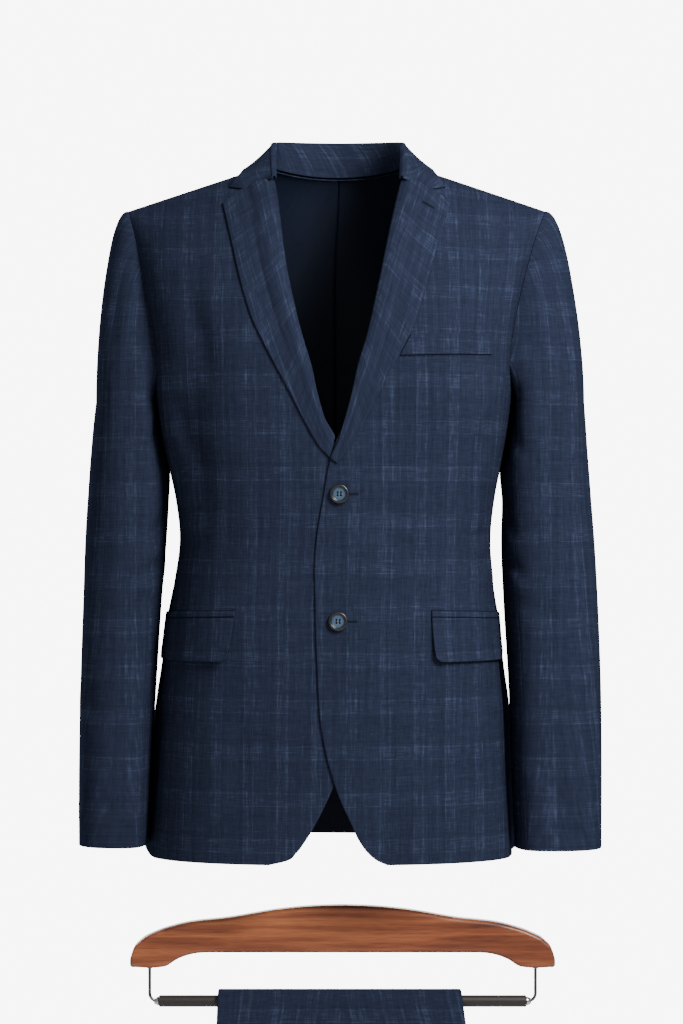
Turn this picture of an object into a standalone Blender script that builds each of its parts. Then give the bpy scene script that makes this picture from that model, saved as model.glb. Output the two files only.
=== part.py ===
"""A two-piece suit: a two-button jacket in its hollow worn shape, and its trousers folded over the
rod of a plain hanger below it. Metres, +Z up, the front faces -Y and the wearer's left is +X.
The origin is between the tops of the collar's two sides, where the wearer's neck carries the jacket."""
import math

import bmesh
import bpy
import numpy as np
from mathutils import Vector

# Cloth and seams
JACKET_WALL = 0.0018
TROUSER_WALL = 0.0012
SEAM = 0.0003            # clear gap between sewn pieces
LAYER = 0.0004           # clear gap between flat layers
STAND_OFF = 0.0007       # clear gap between a piece and the curved panel that it lies on
GORGE_GAP = 0.0014       # between the lapel's and the collar's ends, measured in height

# Jacket heights
YOKE_Z = -0.235          # where the armholes' front and back edges start
ARMHOLE_DIP = 0.027      # how far the armhole's bottom lies below that
CROSSING_Z = -0.3138     # where the two roll lines cross
HEM_FRONT_Z = -0.737
HEM_SIDE_BACK_Z = -0.7315    # at the back side seam
HEM_BACK_Z = -0.729
NECK_POINT = (0.0780, 0.004, -0.0245)     # shoulder seam at the neck: x, y, z
SHOULDER_TIP = (0.2167, 0.004, -0.0708)
YOKE_SQUARENESS = 1.7    # superellipse power of the curve over the shoulder

# Torso sections: height, half width, front depth, back depth, squareness, sideways lean
TORSO = [
    (-0.7500, 0.1905, 0.1305, 0.1200, 2.5, -0.0073),
    (-0.7350, 0.1900, 0.1305, 0.1200, 2.5, -0.0072),
    (-0.6500, 0.1850, 0.1305, 0.1210, 2.5, -0.0065),
    (-0.5800, 0.1804, 0.1300, 0.1210, 2.5, -0.0060),
    (-0.5380, 0.1752, 0.1290, 0.1185, 2.5, -0.0057),
    (-0.4960, 0.1716, 0.1280, 0.1145, 2.5, -0.0055),
    (-0.4550, 0.1654, 0.1260, 0.1085, 2.5, -0.0047),
    (-0.4130, 0.1612, 0.1245, 0.1035, 2.5, -0.0036),
    (-0.3710, 0.1649, 0.1245, 0.1025, 2.55, -0.0033),
    (-0.3300, 0.1730, 0.1260, 0.1055, 2.6, -0.0035),
    (-0.2900, 0.1805, 0.1280, 0.1095, 2.7, -0.0038),
    (-0.2600, 0.1842, 0.1290, 0.1120, 2.8, -0.0040),
    (-0.2350, 0.1853, 0.1290, 0.1130, 2.8, -0.0040),
    (-0.1200, 0.1853, 0.1290, 0.1130, 2.8, -0.0040),
    (-0.0500, 0.1853, 0.1290, 0.1130, 2.8, -0.0010),
    (0.0200, 0.1853, 0.1290, 0.1130, 2.8, 0.0),
]
# Angles round the torso, from the centre front, of the two long seams: height, front seam, back seam
LONG_SEAMS = [
    (-0.750, 1.200, 2.020),
    (-0.410, 1.215, 2.060),
    (-0.235, 1.264, 1.974),
]
# Height, distance from the middle
ROLL_LINE = [
    (-0.3138, 0.0007), (-0.2778, 0.0125), (-0.2300, 0.0245), (-0.2120, 0.0305), (-0.1710, 0.0406),
    (-0.1506, 0.0452), (-0.1190, 0.0510), (-0.0860, 0.0567), (-0.0520, 0.0640), (-0.0245, 0.0780),
]
LAPEL_EDGE = [
    (-0.3345, 0.0020), (-0.3308, 0.0058), (-0.3008, 0.0255), (-0.2638, 0.0445), (-0.2318, 0.0615),
    (-0.1950, 0.0800), (-0.1496, 0.0942), (-0.1120, 0.1038), (-0.0686, 0.1165),
]
NOTCH = (0.0973, -0.0527)            # inner corner of the notch: distance from the middle, height
GORGE_START = (0.0652, -0.0429)      # where the gorge seam leaves the fold
COLLAR_POINT = (0.1113, -0.0501)
ARMHOLE_FRONT = [
    (-0.2350, 0.1790), (-0.2145, 0.1805), (-0.1700, 0.1888), (-0.1366, 0.1972), (-0.0960, 0.2080),
    (-0.0708, 0.2167),
]
ARMHOLE_BACK = [
    (-0.2350, 0.1745), (-0.2145, 0.1760), (-0.1700, 0.1820), (-0.1366, 0.1905), (-0.0960, 0.2050),
    (-0.0708, 0.2167),
]
# Front edges below the crossing: height, x of the edge on top (wearer's left), x of the one below
FRONT_EDGES = [
    (-0.7370, 0.0490, -0.0700), (-0.7330, 0.0400, -0.0530), (-0.7250, 0.0300, -0.0425),
    (-0.7140, 0.0215, -0.0340), (-0.6948, 0.0125, -0.0225), (-0.6698, 0.0010, -0.0100),
    (-0.6444, -0.0075, 0.0000), (-0.6013, -0.0169, 0.0110), (-0.5400, -0.0212, 0.0165),
    (-0.4718, -0.0232, 0.0190), (-0.4338, -0.0236, 0.0195), (-0.4028, -0.0208, 0.0185),
    (-0.3700, -0.0152, 0.0165), (-0.3320, -0.0085, 0.0050), (-0.3138, -0.0028, -0.0042),
]
OVERLAP_FROM, OVERLAP_FULL = 0.047, 0.027    # x where the upper front starts to rise, and is risen
VENT_TOP_Z = -0.515
# The lower back at the vent, as distances from the middle: where it starts to sink, its sunk part,
# and its end. It is sunk before it runs on under the other back.
VENT_SUNK = (0.0140, 0.0035, 0.0018, 0.0002)
VENT_LAP = (0.0140, 0.0035, -0.0150, -0.0340)
VENT_ROWS = [VENT_TOP_Z + 0.014, VENT_TOP_Z, VENT_TOP_Z - 0.003]

# Row heights of the panels below the armholes
PANEL_HEIGHTS = [
    -0.235, -0.262, -0.290, -0.3138, -0.332, -0.360, -0.400, -0.440, -0.480, -0.530, -0.580, -0.620,
    -0.655, -0.680, -0.702, -0.717, -0.727, -0.733, -0.737,
]
YOKE_ROWS = 7
FRONT_COLUMNS, SIDE_COLUMNS, BACK_COLUMNS = 9, 4, 9

# Sleeve sections: height, inner and outer x of the wearer's left, then of the right sleeve
SLEEVE_SIDES = [
    (-0.7600, 0.1836, 0.2700, 0.1985, 0.2664), (-0.7280, 0.1826, 0.2702, 0.1974, 0.2667),
    (-0.6500, 0.1795, 0.2712, 0.1935, 0.2675), (-0.5600, 0.1757, 0.2712, 0.1885, 0.2668),
    (-0.4750, 0.1711, 0.2688, 0.1836, 0.2647), (-0.4130, 0.1690, 0.2657, 0.1789, 0.2630),
    (-0.3713, 0.1700, 0.2626, 0.1766, 0.2608), (-0.3430, 0.1682, 0.2606, 0.1750, 0.2590),
    (-0.3200, 0.1726, 0.2588, 0.1797, 0.2572), (-0.2900, 0.1780, 0.2568, 0.1855, 0.2545),
    (-0.2700, 0.1807, 0.2553, 0.1884, 0.2522),
]
# Height, middle y, half depth
SLEEVE_DEPTH = [
    (-0.7600, -0.0400, 0.0455), (-0.7280, -0.0370, 0.0465), (-0.6500, -0.0280, 0.0500),
    (-0.5600, -0.0160, 0.0545), (-0.4750, -0.0060, 0.0585), (-0.3713, 0.0020, 0.0630),
    (-0.2700, 0.0040, 0.0665),
]
SLEEVE_SQUARENESS = 2.15
SLEEVE_RADIUS = 0.050    # about, to turn a width into an angle
CAP_FOOT_Z = -0.270                  # below this height the sleeve's rings are level
CAP_ROWS = 7
SLEEVE_HEIGHTS = [-0.320, -0.3713, -0.413, -0.460, -0.510, -0.560, -0.610, -0.660, -0.700]
CUFF_Z = {1: -0.7280, -1: -0.7250}   # by side: 1 is the wearer's left
FRONT_SEAM_ANGLE = math.radians(128)
BACK_SEAM_ANGLE = [(-0.760, math.radians(-38)), (-0.270, math.radians(-72)), (0.0, math.radians(-78))]
TOP_SLEEVE_COLUMNS, UNDER_SLEEVE_COLUMNS = 9, 8

# Pockets
WELT = dict(clear=0.0015, end=0.1605, top=-0.2062, rise=0.0030, height=0.0208)
POCKET_X, POCKET_LENGTH, POCKET_TILT = 0.0985, 0.152, 0.0050
JET_TOP_Z, JET_HEIGHT = -0.4830, 0.0062
FLAP_HEIGHT, FLAP_CORNER = 0.0455, 0.0090

# Buttons: diameter, thickness
FRONT_BUTTON, CUFF_BUTTON = (0.0198, 0.0034), (0.0148, 0.0028)
FRONT_BUTTON_PLACES = [(0.0008, -0.3656), (-0.0005, -0.4932)]
CUFF_BUTTON_RISE, CUFF_BUTTON_PITCH, CUFF_BUTTONS = 0.0250, 0.0156, 4
CUFF_BUTTON_INSET = 0.0150           # from the sleeve's back seam

# Hanger
HANGER_X, BAR_Y, BAR_THICK = 0.0041, -0.0500, 0.0220
BAR_HALF = 0.2175
WIRE_X, WIRE_RADIUS = 0.1975, 0.0016
ROD_Z, ROD_RADIUS, ROD_HALF = -0.8845, 0.0060, 0.1884

# Trousers, laid over the rod: distance along the cloth from the rod's top (front side is positive,
# up to the waist), x of the front crease's edge, x of the back crease's edge
TROUSERS_X = 0.0010
TROUSER_WIDTHS = [
    (-0.598, -0.0860, 0.0900), (-0.450, -0.0930, 0.0950), (-0.300, -0.1000, 0.1010),
    (-0.150, -0.1110, 0.1110), (0.000, -0.1230, 0.1230), (0.100, -0.1260, 0.1390),
    (0.180, -0.1275, 0.1560), (0.235, -0.1265, 0.1545), (0.300, -0.1240, 0.1440),
    (0.360, -0.1205, 0.1310), (0.415, -0.1165, 0.1185),
]
WAISTBAND = 0.0380
LOOP_PLACES, LOOP_WIDTH = (-0.062, 0.058), 0.0090
LOOP_OVER, LOOP_SHORT = 0.0040, 0.0020       # past the waistband's seam, and short of its edge


# ---------------------------------------------------------------- small tools

def track(rows):
    """A smooth function of the rows' first column, which gives the other columns."""
    rows = np.array(sorted(rows), float)
    at, values = rows[:, 0], rows[:, 1:]
    steps = np.diff(at)[:, None]
    chords = np.diff(values, axis=0) / steps
    inner = (chords[:-1] * steps[1:] + chords[1:] * steps[:-1]) / (steps[:-1] + steps[1:])
    slopes = np.vstack([chords[:1], inner, chords[-1:]])

    def value(where):
        where = min(max(where, at[0]), at[-1])
        i = min(max(int(np.searchsorted(at, where)) - 1, 0), len(steps) - 1)
        h = steps[i, 0]
        s = (where - at[i]) / h
        return ((1 + 2 * s) * (1 - s) ** 2 * values[i] + s * (1 - s) ** 2 * h * slopes[i]
                + s * s * (3 - 2 * s) * values[i + 1] + s * s * (s - 1) * h * slopes[i + 1])

    return value


def mix(a, b, t):
    return a + (b - a) * t


def ease(t):
    t = min(max(t, 0.0), 1.0)
    return t * t * (3 - 2 * t)


def unit(v):
    return v / np.linalg.norm(v)


torso = track(TORSO)
long_seams = track(LONG_SEAMS)
roll_line = track(ROLL_LINE)
lapel_edge = track(LAPEL_EDGE)
armhole_front = track(ARMHOLE_FRONT)
armhole_back = track(ARMHOLE_BACK)
front_edges = track(FRONT_EDGES)
sleeve_sides = track(SLEEVE_SIDES)
sleeve_depth = track(SLEEVE_DEPTH)
back_seam_angle = track(BACK_SEAM_ANGLE)
trouser_widths = track(TROUSER_WIDTHS)


def normal_of(surface, u, v, du=1e-4, dv=1e-4):
    """The unit normal of surface(u, v), to either side of it."""
    along = surface(u + du, v) - surface(u - du, v)
    across = surface(u, v + dv) - surface(u, v - dv)
    return unit(np.cross(along, across))


# ---------------------------------------------------------------- the jacket's surfaces

def lean(z):
    return torso(z)[4]


def lift(side, x, z):
    """How far the panel on top stands off at the front overlap."""
    if side < 0:
        return 0.0
    across = ease((OVERLAP_FROM - x) / (OVERLAP_FROM - OVERLAP_FULL))
    return (JACKET_WALL + 2 * LAYER) * across * ease((-0.285 - z) / 0.035)


def ring(side, angle, z):
    """A point of the torso below the armholes. The angle runs from the centre front to the back."""
    half, front, back, power, shift = torso(z)
    sine, cosine = math.sin(angle), math.cos(angle)
    x = half * math.copysign(abs(sine) ** (2 / power), sine)
    y = -(front if cosine > 0 else back) * math.copysign(abs(cosine) ** (2 / power), cosine)
    return np.array([side * x + shift, y, z])


def ring_normal(side, angle, z):
    away = normal_of(lambda a, h: ring(side, a, h), angle, z)
    middle = np.array([lean(z), 0, z])
    point = ring(side, angle, z)
    return away if np.dot(away, point - middle) > 0 else -away


def ring_angle(side, x, z, back=False):
    """The angle at which the ring at this height passes x."""
    half, _, _, power, shift = torso(z)
    across = side * (x - shift) / half
    across = max(min(across, 1.0), -1.0)
    angle = math.asin(math.copysign(abs(across) ** (power / 2), across))
    return math.pi - angle if back else angle


def yoke(side, back, f, w_angle):
    """A point above the armholes' start: f runs from the inner edge to the armhole and w_angle from
    0, at the level where the armholes start, to a right angle on the shoulder seam."""
    half, front, rear, power, _ = torso(YOKE_Z)
    rise = max(math.sin(w_angle), 0.0) ** (2 / YOKE_SQUARENESS)
    fall = max(math.cos(w_angle), 0.0) ** (2 / YOKE_SQUARENESS)
    outer_z = mix(YOKE_Z, SHOULDER_TIP[2], rise)
    if back:
        inner_x, outer_x = 0.0, armhole_back(outer_z)[0]
        start = f * armhole_back(YOKE_Z)[0]
        top_x = f * SHOULDER_TIP[0]
        at_neck = max(0.0, 1 - abs(top_x) / NECK_POINT[0])
        scoop = 1 - (1 - at_neck) ** 2.2
        top_y = NECK_POINT[1] + 0.071 * scoop
        top_z = mix(NECK_POINT[2], SHOULDER_TIP[2], max(0.0, top_x - NECK_POINT[0])
                    / (SHOULDER_TIP[0] - NECK_POINT[0])) - 0.0055 * scoop
        depth = rear
    else:
        inner_z = mix(YOKE_Z, NECK_POINT[2], rise)
        inner_x, outer_x = roll_line(inner_z)[0], armhole_front(outer_z)[0]
        start = mix(roll_line(YOKE_Z)[0], armhole_front(YOKE_Z)[0], f)
        top_y = NECK_POINT[1]
        top_z = mix(NECK_POINT[2], SHOULDER_TIP[2], f)
        depth = front
    start_y = depth * max(1 - (abs(start) / half) ** power, 0.0) ** (1 / power)
    start_y = start_y if back else -start_y
    z = mix(YOKE_Z, top_z, rise)
    x = mix(inner_x, outer_x, f)
    return np.array([side * x + lean(z), mix(top_y, start_y, fall), z])


def yoke_normal(side, back, f, w_angle):
    w_angle = min(max(w_angle, 0.02), math.pi / 2 - 0.05)
    away = normal_of(lambda a, b: yoke(side, back, a, b), f, w_angle, 1e-3, 1e-3)
    point = yoke(side, back, f, w_angle)
    middle = np.array([0.6 * point[0], 0.0, -0.2])
    return away if np.dot(away, point - middle) > 0 else -away


def shoulder_normal(side):
    """The direction square to the shoulder seam, straight up from both panels."""
    return unit(np.array([side * (NECK_POINT[2] - SHOULDER_TIP[2]), 0, SHOULDER_TIP[0] - NECK_POINT[0]]))


def front_at(side, x, z):
    """The point and normal of the jacket's front at this x and height."""
    if z <= YOKE_Z:
        angle = ring_angle(side, x, z)
        point, away = ring(side, angle, z), ring_normal(side, angle, z)
    else:
        f, w_angle = 0.3, 0.5
        across = side * (x - lean(z))
        for _ in range(14):
            top_z = mix(NECK_POINT[2], SHOULDER_TIP[2], f)
            rise = min((z - YOKE_Z) / (top_z - YOKE_Z), 0.9995)
            w_angle = math.asin(rise ** (YOKE_SQUARENESS / 2))
            inner = roll_line(mix(YOKE_Z, NECK_POINT[2], rise))[0]
            outer = armhole_front(mix(YOKE_Z, SHOULDER_TIP[2], rise))[0]
            f = (across - inner) / (outer - inner)
        point, away = yoke(side, False, f, w_angle), yoke_normal(side, False, f, w_angle)
    return point + away * lift(side, x, z), away


# ---------------------------------------------------------------- making solids

def material(name, colour, roughness, metallic=0.0):
    made = bpy.data.materials.new(name)
    made.use_nodes = True
    shader = made.node_tree.nodes["Principled BSDF"]
    shader.inputs["Base Color"].default_value = (*colour, 1)
    shader.inputs["Roughness"].default_value = roughness
    shader.inputs["Metallic"].default_value = metallic
    made.diffuse_color = (*colour, 1)
    return made


def finish(name, bm, slot):
    """Makes the object from bm, its faces pointing out."""
    bmesh.ops.recalc_face_normals(bm, faces=bm.faces)
    if bm.calc_volume(signed=True) < 0:
        bmesh.ops.reverse_faces(bm, faces=bm.faces)
    mesh = bpy.data.meshes.new(name)
    bm.to_mesh(mesh)
    bm.free()
    mesh.shade_smooth()
    mesh.set_sharp_from_angle(angle=math.radians(40))
    mesh.materials.append(slot)
    made = bpy.data.objects.new(name, mesh)
    suit.objects.link(made)
    return made


def wall(name, rows, slot, thickness, outset=0.0):
    """A cloth piece: rows of (point, normal) give its outer face, and its wall lies inside that.
    Both faces are made from the same normals on each side of a seam, so the gap there stays even."""
    bm = bmesh.new()
    faces = []
    for depth in (outset, outset - thickness):
        faces.append([[bm.verts.new(p + n * depth) for p, n in row] for row in rows])
    outer, inner = faces
    last_row, last_column = len(rows) - 1, len(rows[0]) - 1
    for i in range(last_row):
        for j in range(last_column):
            bm.faces.new((outer[i][j], outer[i + 1][j], outer[i + 1][j + 1], outer[i][j + 1]))
            bm.faces.new((inner[i][j], inner[i][j + 1], inner[i + 1][j + 1], inner[i + 1][j]))
    rim = [(0, j) for j in range(last_column)] + [(i, last_column) for i in range(last_row)]
    rim += [(last_row, j) for j in range(last_column, 0, -1)] + [(i, 0) for i in range(last_row, 0, -1)]
    for (i, j), (k, m) in zip(rim, rim[1:] + rim[:1]):
        bm.faces.new((outer[i][j], outer[k][m], inner[k][m], inner[i][j]))
    return finish(name, bm, slot)


def turned(name, profile, slot, steps, place, facing):
    """A solid turned from a profile of (radius, height), its axis along facing."""
    mesh = bpy.data.meshes.new(name)
    mesh.from_pydata([(r, 0, h) for r, h in profile], [(i, i + 1) for i in range(len(profile) - 1)], [])
    made = bpy.data.objects.new(name, mesh)
    suit.objects.link(made)
    screw = made.modifiers.new("Turn", "SCREW")
    screw.steps = screw.render_steps = steps
    screw.use_merge_vertices = True
    screw.merge_threshold = 1e-5
    mesh.materials.append(slot)
    made.location = place
    made.rotation_euler = Vector([float(c) for c in facing]).to_track_quat("Z", "Y").to_euler()
    return made


def tube(name, points, radius, slot, resolution=2):
    curve = bpy.data.curves.new(name, "CURVE")
    curve.dimensions = "3D"
    line = curve.splines.new("POLY")
    line.points.add(len(points) - 1)
    for point, place in zip(line.points, points):
        point.co = (*place, 1)
    curve.bevel_depth = radius
    curve.bevel_resolution = resolution
    curve.use_fill_caps = True
    curve.materials.append(slot)
    made = bpy.data.objects.new(name, curve)
    suit.objects.link(made)
    return made


# ---------------------------------------------------------------- the jacket's body

SIDE_NAMES = {1: "left", -1: "right"}    # the wearer's


def front_edge_x(side, z):
    if z > CROSSING_Z:
        return side * roll_line(z)[0] + lean(z)
    return front_edges(z)[0 if side > 0 else 1]


def front_columns(side, z):
    """The angles of the front's columns at this height: two follow the overlap's rise."""
    first = side * front_edge_x(side, z)
    rise = [max(OVERLAP_FULL, first + 0.008)]
    rise.append(max(OVERLAP_FROM, rise[0] + 0.015))
    angles = [ring_angle(side, side * x, z) for x in [first] + rise]
    last = long_seams(z)[0] - SEAM / 2 / torso(z)[0]
    rest = FRONT_COLUMNS - 2
    return angles[:2] + [mix(angles[2], last, j / rest) for j in range(rest + 1)]


def front_panel(side):
    """Front: from the front edge or the roll line to the front side seam or the armhole."""
    rows = []
    for z in reversed(PANEL_HEIGHTS):
        row = []
        for angle in front_columns(side, z):
            point, away = ring(side, angle, z), ring_normal(side, angle, z)
            row.append((point + away * lift(side, point[0], z), away))
        rows.append(row)
    shift = lean(YOKE_Z)
    along = [side * (point[0] - shift) for point, _ in rows[-1]]
    fractions = [(x - along[0]) / (along[-1] - along[0]) for x in along]
    for i in range(1, YOKE_ROWS + 1):
        w_angle = (math.pi / 2) * i / YOKE_ROWS
        rows.append([(yoke(side, False, f, w_angle), yoke_normal(side, False, f, w_angle))
                     for f in fractions])
    rows[-1] = [(p - np.array([0, SEAM / 2, 0]), shoulder_normal(side)) for p, _ in rows[-1]]
    return wall(f"front_{SIDE_NAMES[side]}", rows, cloth, JACKET_WALL)


def side_top(s):
    return YOKE_Z - ARMHOLE_DIP * math.sin(math.pi * s) ** 0.8


def side_panel(side):
    """Side body: under the arm, from the front side seam to the back one."""
    rows = []
    for height in reversed(PANEL_HEIGHTS):
        row = []
        for j in range(SIDE_COLUMNS + 1):
            s = j / SIDE_COLUMNS
            t = (height - HEM_FRONT_Z) / (YOKE_Z - HEM_FRONT_Z)
            z = mix(mix(HEM_FRONT_Z, HEM_SIDE_BACK_Z, s), side_top(s), t)
            gap = SEAM / 2 / torso(z)[0]
            first, last = long_seams(z)
            angle = mix(first + gap, last - gap, s)
            row.append((ring(side, angle, z), ring_normal(side, angle, z)))
        rows.append(row)
    return wall(f"side_{SIDE_NAMES[side]}", rows, cloth, JACKET_WALL)


def back_columns(side, z):
    """The angles of the back's columns at this height, and how far each is sunk under the vent."""
    first = long_seams(z)[1] + SEAM / 2 / torso(z)[0]
    if side < 0 or z > VENT_TOP_Z:
        last = math.pi - angle_for_gap(z)
        return [(mix(first, last, j / BACK_COLUMNS), 0.0) for j in range(BACK_COLUMNS + 1)]
    places = VENT_LAP if z < VENT_TOP_Z else VENT_SUNK
    lap = [(ring_angle(side, lean(z) + side * x, z, back=True), float(i > 0))
           for i, x in enumerate(places)]
    rest = BACK_COLUMNS + 1 - len(lap)
    return [(mix(first, lap[0][0], j / rest), 0.0) for j in range(rest)] + lap


def back_panel(side):
    """Back: from the back side seam to the centre-back seam. Below the vent's top the wearer's left
    back runs on under the right one."""
    rows = []
    for height in sorted(PANEL_HEIGHTS + VENT_ROWS):
        t = (height - HEM_FRONT_Z) / (YOKE_Z - HEM_FRONT_Z)
        row = []
        for j, (angle, sunk) in enumerate(back_columns(side, height)):
            z = mix(mix(HEM_SIDE_BACK_Z, HEM_BACK_Z, j / BACK_COLUMNS), YOKE_Z, t)
            point, away = ring(side, angle, z), ring_normal(side, angle, z)
            row.append((point - away * (JACKET_WALL + LAYER) * sunk, away))
        rows.append(row)
    along = [abs(point[0] - lean(YOKE_Z)) for point, _ in rows[-1]]
    for i in range(1, YOKE_ROWS + 1):
        w_angle = (math.pi / 2) * i / YOKE_ROWS
        row = []
        for x in along:
            f = x / armhole_back(YOKE_Z)[0]
            row.append((yoke(side, True, f, w_angle), yoke_normal(side, True, f, w_angle)))
        rows.append(row)
    rows[-1] = [(p + np.array([0, SEAM / 2, 0]),
                 shoulder_normal(side) if side * (p[0] - lean(p[2])) > NECK_POINT[0] - 0.002 else n)
                for p, n in rows[-1]]
    return wall(f"back_{SIDE_NAMES[side]}", rows, cloth, JACKET_WALL)


def angle_for_gap(z):
    """Half the centre-back seam's gap, as an angle at this height."""
    half, _, _, power, _ = torso(z)
    return math.asin((SEAM / 2 / half) ** (power / 2))


# ---------------------------------------------------------------- lapels and collar

# Lapel rows, as the heights of their inner end on the roll line and their outer end on the edge
LAPEL_ROWS = [
    (-0.3120, -0.3325), (-0.2900, -0.3160), (-0.2650, -0.2930), (-0.2400, -0.2680), (-0.2150, -0.2430),
    (-0.1900, -0.2170), (-0.1650, -0.1910), (-0.1400, -0.1650), (-0.1170, -0.1410), (-0.0970, -0.1190),
    (-0.0800, -0.1010), (-0.0640, -0.0845),
]
LAPEL_COLUMNS = [0.0, 0.035, 0.12, 0.35, 0.6, 0.8, 1.0]
NOTCH_COLUMN = 0.6
LAPEL_TIP_Z = -0.0686
LAPEL_FOOT = {1: ((-0.0062, -0.3310), (-0.0015, -0.3345)), -1: ((-0.0042, -0.3118), (-0.0088, -0.3290))}
ROLL_BULGE = 0.0042          # how far the roll stands off the front


def lapel_places(side):
    """Each row's places on the front, as distance from the middle and height."""
    foot = [np.array([side * (x - lean(z)), z]) for x, z in LAPEL_FOOT[side]]
    rows = [[mix(foot[0], foot[1], k) for k in LAPEL_COLUMNS]]
    first = 0 if side > 0 else 1
    for inner_z, outer_z in LAPEL_ROWS[first:]:
        inner = np.array([roll_line(inner_z)[0], inner_z])
        outer = np.array([lapel_edge(outer_z)[0], outer_z])
        rows.append([mix(inner, outer, k) for k in LAPEL_COLUMNS])
    start = np.array(GORGE_START) - (0, GORGE_GAP)
    corner = np.array(NOTCH) - (0, GORGE_GAP)
    tip = np.array([lapel_edge(LAPEL_TIP_Z)[0], LAPEL_TIP_Z])
    rows.append([mix(start, corner, k / NOTCH_COLUMN) if k <= NOTCH_COLUMN
                 else mix(corner, tip, (k - NOTCH_COLUMN) / (1 - NOTCH_COLUMN)) for k in LAPEL_COLUMNS])
    return rows


def lapel(side):
    """Lapel: turned back on the front from the roll line, with its end in the gorge and the notch."""
    rows = []
    all_places = lapel_places(side)
    for i, places in enumerate(all_places):
        width = abs(places[-1][0] - places[0][0]) * (1.0 if i < len(all_places) - 1 else 0.1)
        row = []
        for k, (x, z) in zip(LAPEL_COLUMNS, places):
            point, away = front_at(side, side * x + lean(z), z)
            hump = math.sin(math.pi * min(k / 0.5, 1.0)) ** 0.7 if 0 < k < 0.5 else 0.0
            row.append((point + away * min(ROLL_BULGE, 0.06 * width) * hump, away))
        rows.append(row)
    return wall(f"lapel_{SIDE_NAMES[side]}", rows, cloth, JACKET_WALL, outset=STAND_OFF + JACKET_WALL)


# The collar's half, from the centre back (0) to its front end (1): station, x, y, z
COLLAR_FOLD = [
    (0.00, 0.0000, 0.0790, 0.0080), (0.25, 0.0430, 0.0640, 0.0070), (0.50, 0.0660, 0.0270, 0.0030),
    (0.62, 0.0675, 0.0030, -0.0010), (0.80, 0.0672, -0.0250, -0.0200), (1.00, 0.0655, -0.0460, -0.0393),
]
COLLAR_LEAF = [
    (0.00, 0.0000, 0.1055, -0.0370), (0.25, 0.0600, 0.0930, -0.0365), (0.50, 0.1000, 0.0450, -0.0345),
    (0.62, 0.1030, 0.0060, -0.0285), (0.80, 0.1060, -0.0210, -0.0335), (1.00, 0.1113, -0.0430, -0.0501),
]
COLLAR_STATIONS = [0.0, 0.12, 0.25, 0.38, 0.5, 0.62, 0.71, 0.8, 0.9, 1.0]
NECK_STATION = 0.62          # where the collar passes the shoulder seam
FOLD_RADIUS = 0.0028
collar_fold = track(COLLAR_FOLD)
collar_leaf = track(COLLAR_LEAF)


def neck_edge(station):
    """The body's neck edge next to this station of the collar, on the wearer's left."""
    if station <= NECK_STATION:
        f = (station / NECK_STATION) * NECK_POINT[0] / SHOULDER_TIP[0]
        return yoke(1, True, f, math.pi / 2)
    z = mix(NECK_POINT[2], GORGE_START[1] + 0.003, (station - NECK_STATION) / (1 - NECK_STATION))
    rise = (z - YOKE_Z) / (NECK_POINT[2] - YOKE_Z)
    return yoke(1, False, 0.0, math.asin(rise ** (YOKE_SQUARENESS / 2)))


def collar_section(station):
    """The middle line of the collar's cloth, from the neck seam over the fold to the leaf's edge."""
    fold, leaf = collar_fold(station), collar_leaf(station)
    inward = unit(np.array([-fold[0], -fold[1], 0.0]))
    up = np.array([0.0, 0.0, 1.0])
    seam = neck_edge(station) + inward * (JACKET_WALL / 2 + LAYER) + up * 0.0012
    stand_top = fold + (inward - up) * FOLD_RADIUS
    leaf_top = fold - (inward + up) * FOLD_RADIUS
    if station > 0.95:
        stand_top = mix(seam, stand_top, 0.9)
    ridge = [fold - up * FOLD_RADIUS + (inward * c + up * s) * FOLD_RADIUS
             for c, s in ((0.7, 0.7), (0.0, 1.0), (-0.7, 0.7))]
    body = [mix(leaf_top, leaf, t) for t in (0.0, 0.25, 0.5, 0.75, 1.0)]
    if station > 0.95:
        body[1:] = [p + away * (STAND_OFF + JACKET_WALL / 2) for p, away in gorge_end()]
    return [seam, mix(seam, stand_top, 0.5), stand_top] + ridge + body


def gorge_end():
    """Points and normals on the wearer's left front along the gorge, the notch and the leaf's end."""
    places = [mix(np.array(GORGE_START), np.array(NOTCH), k) for k in (0.33, 0.66, 1.0)]
    return [front_at(1, x, z) for x, z in places + [np.array(COLLAR_POINT)]]


def collar():
    """Collar: its stand rises from the neck edge, and its leaf falls over the shoulders."""
    half = [collar_section(s) for s in COLLAR_STATIONS]
    turn = [[np.array([-x + lean(z), y, z]) for x, y, z in row] for row in half[:0:-1]]
    grid = np.array(turn + [[np.array([x + lean(z), y, z]) for x, y, z in row] for row in half])
    along = np.gradient(grid, axis=0)
    across = np.gradient(grid, axis=1)
    normals = np.cross(along, across)
    normals /= np.linalg.norm(normals, axis=2, keepdims=True)
    ends = [away for _, away in gorge_end()]
    flip = np.sign(np.dot(normals[-1, -1], ends[-1]))
    normals[-1, -4:] = np.array(ends) * flip
    normals[0, -4:] = np.array(ends) * flip * (-1, 1, 1)
    rows = [list(zip(points, aways)) for points, aways in zip(grid, normals)]
    return wall("collar", rows, cloth, JACKET_WALL, outset=JACKET_WALL / 2)


# ---------------------------------------------------------------- sleeves

def armscye(side, turn):
    """The armhole's seam by the turn from the shoulder's tip: a quarter is the front, a half is
    the bottom."""
    turn = turn % 1.0
    front_end, back_start = 0.37, 0.63
    if turn <= front_end or turn >= back_start:
        back = turn >= back_start
        t = (1 - turn) / (1 - back_start) if back else turn / front_end
        return yoke(side, back, 1.0, (math.pi / 2) * (1 - t))
    s = (turn - front_end) / (back_start - front_end)
    first, last = long_seams(YOKE_Z)
    return ring(side, mix(first, last, s), side_top(s))


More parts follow.
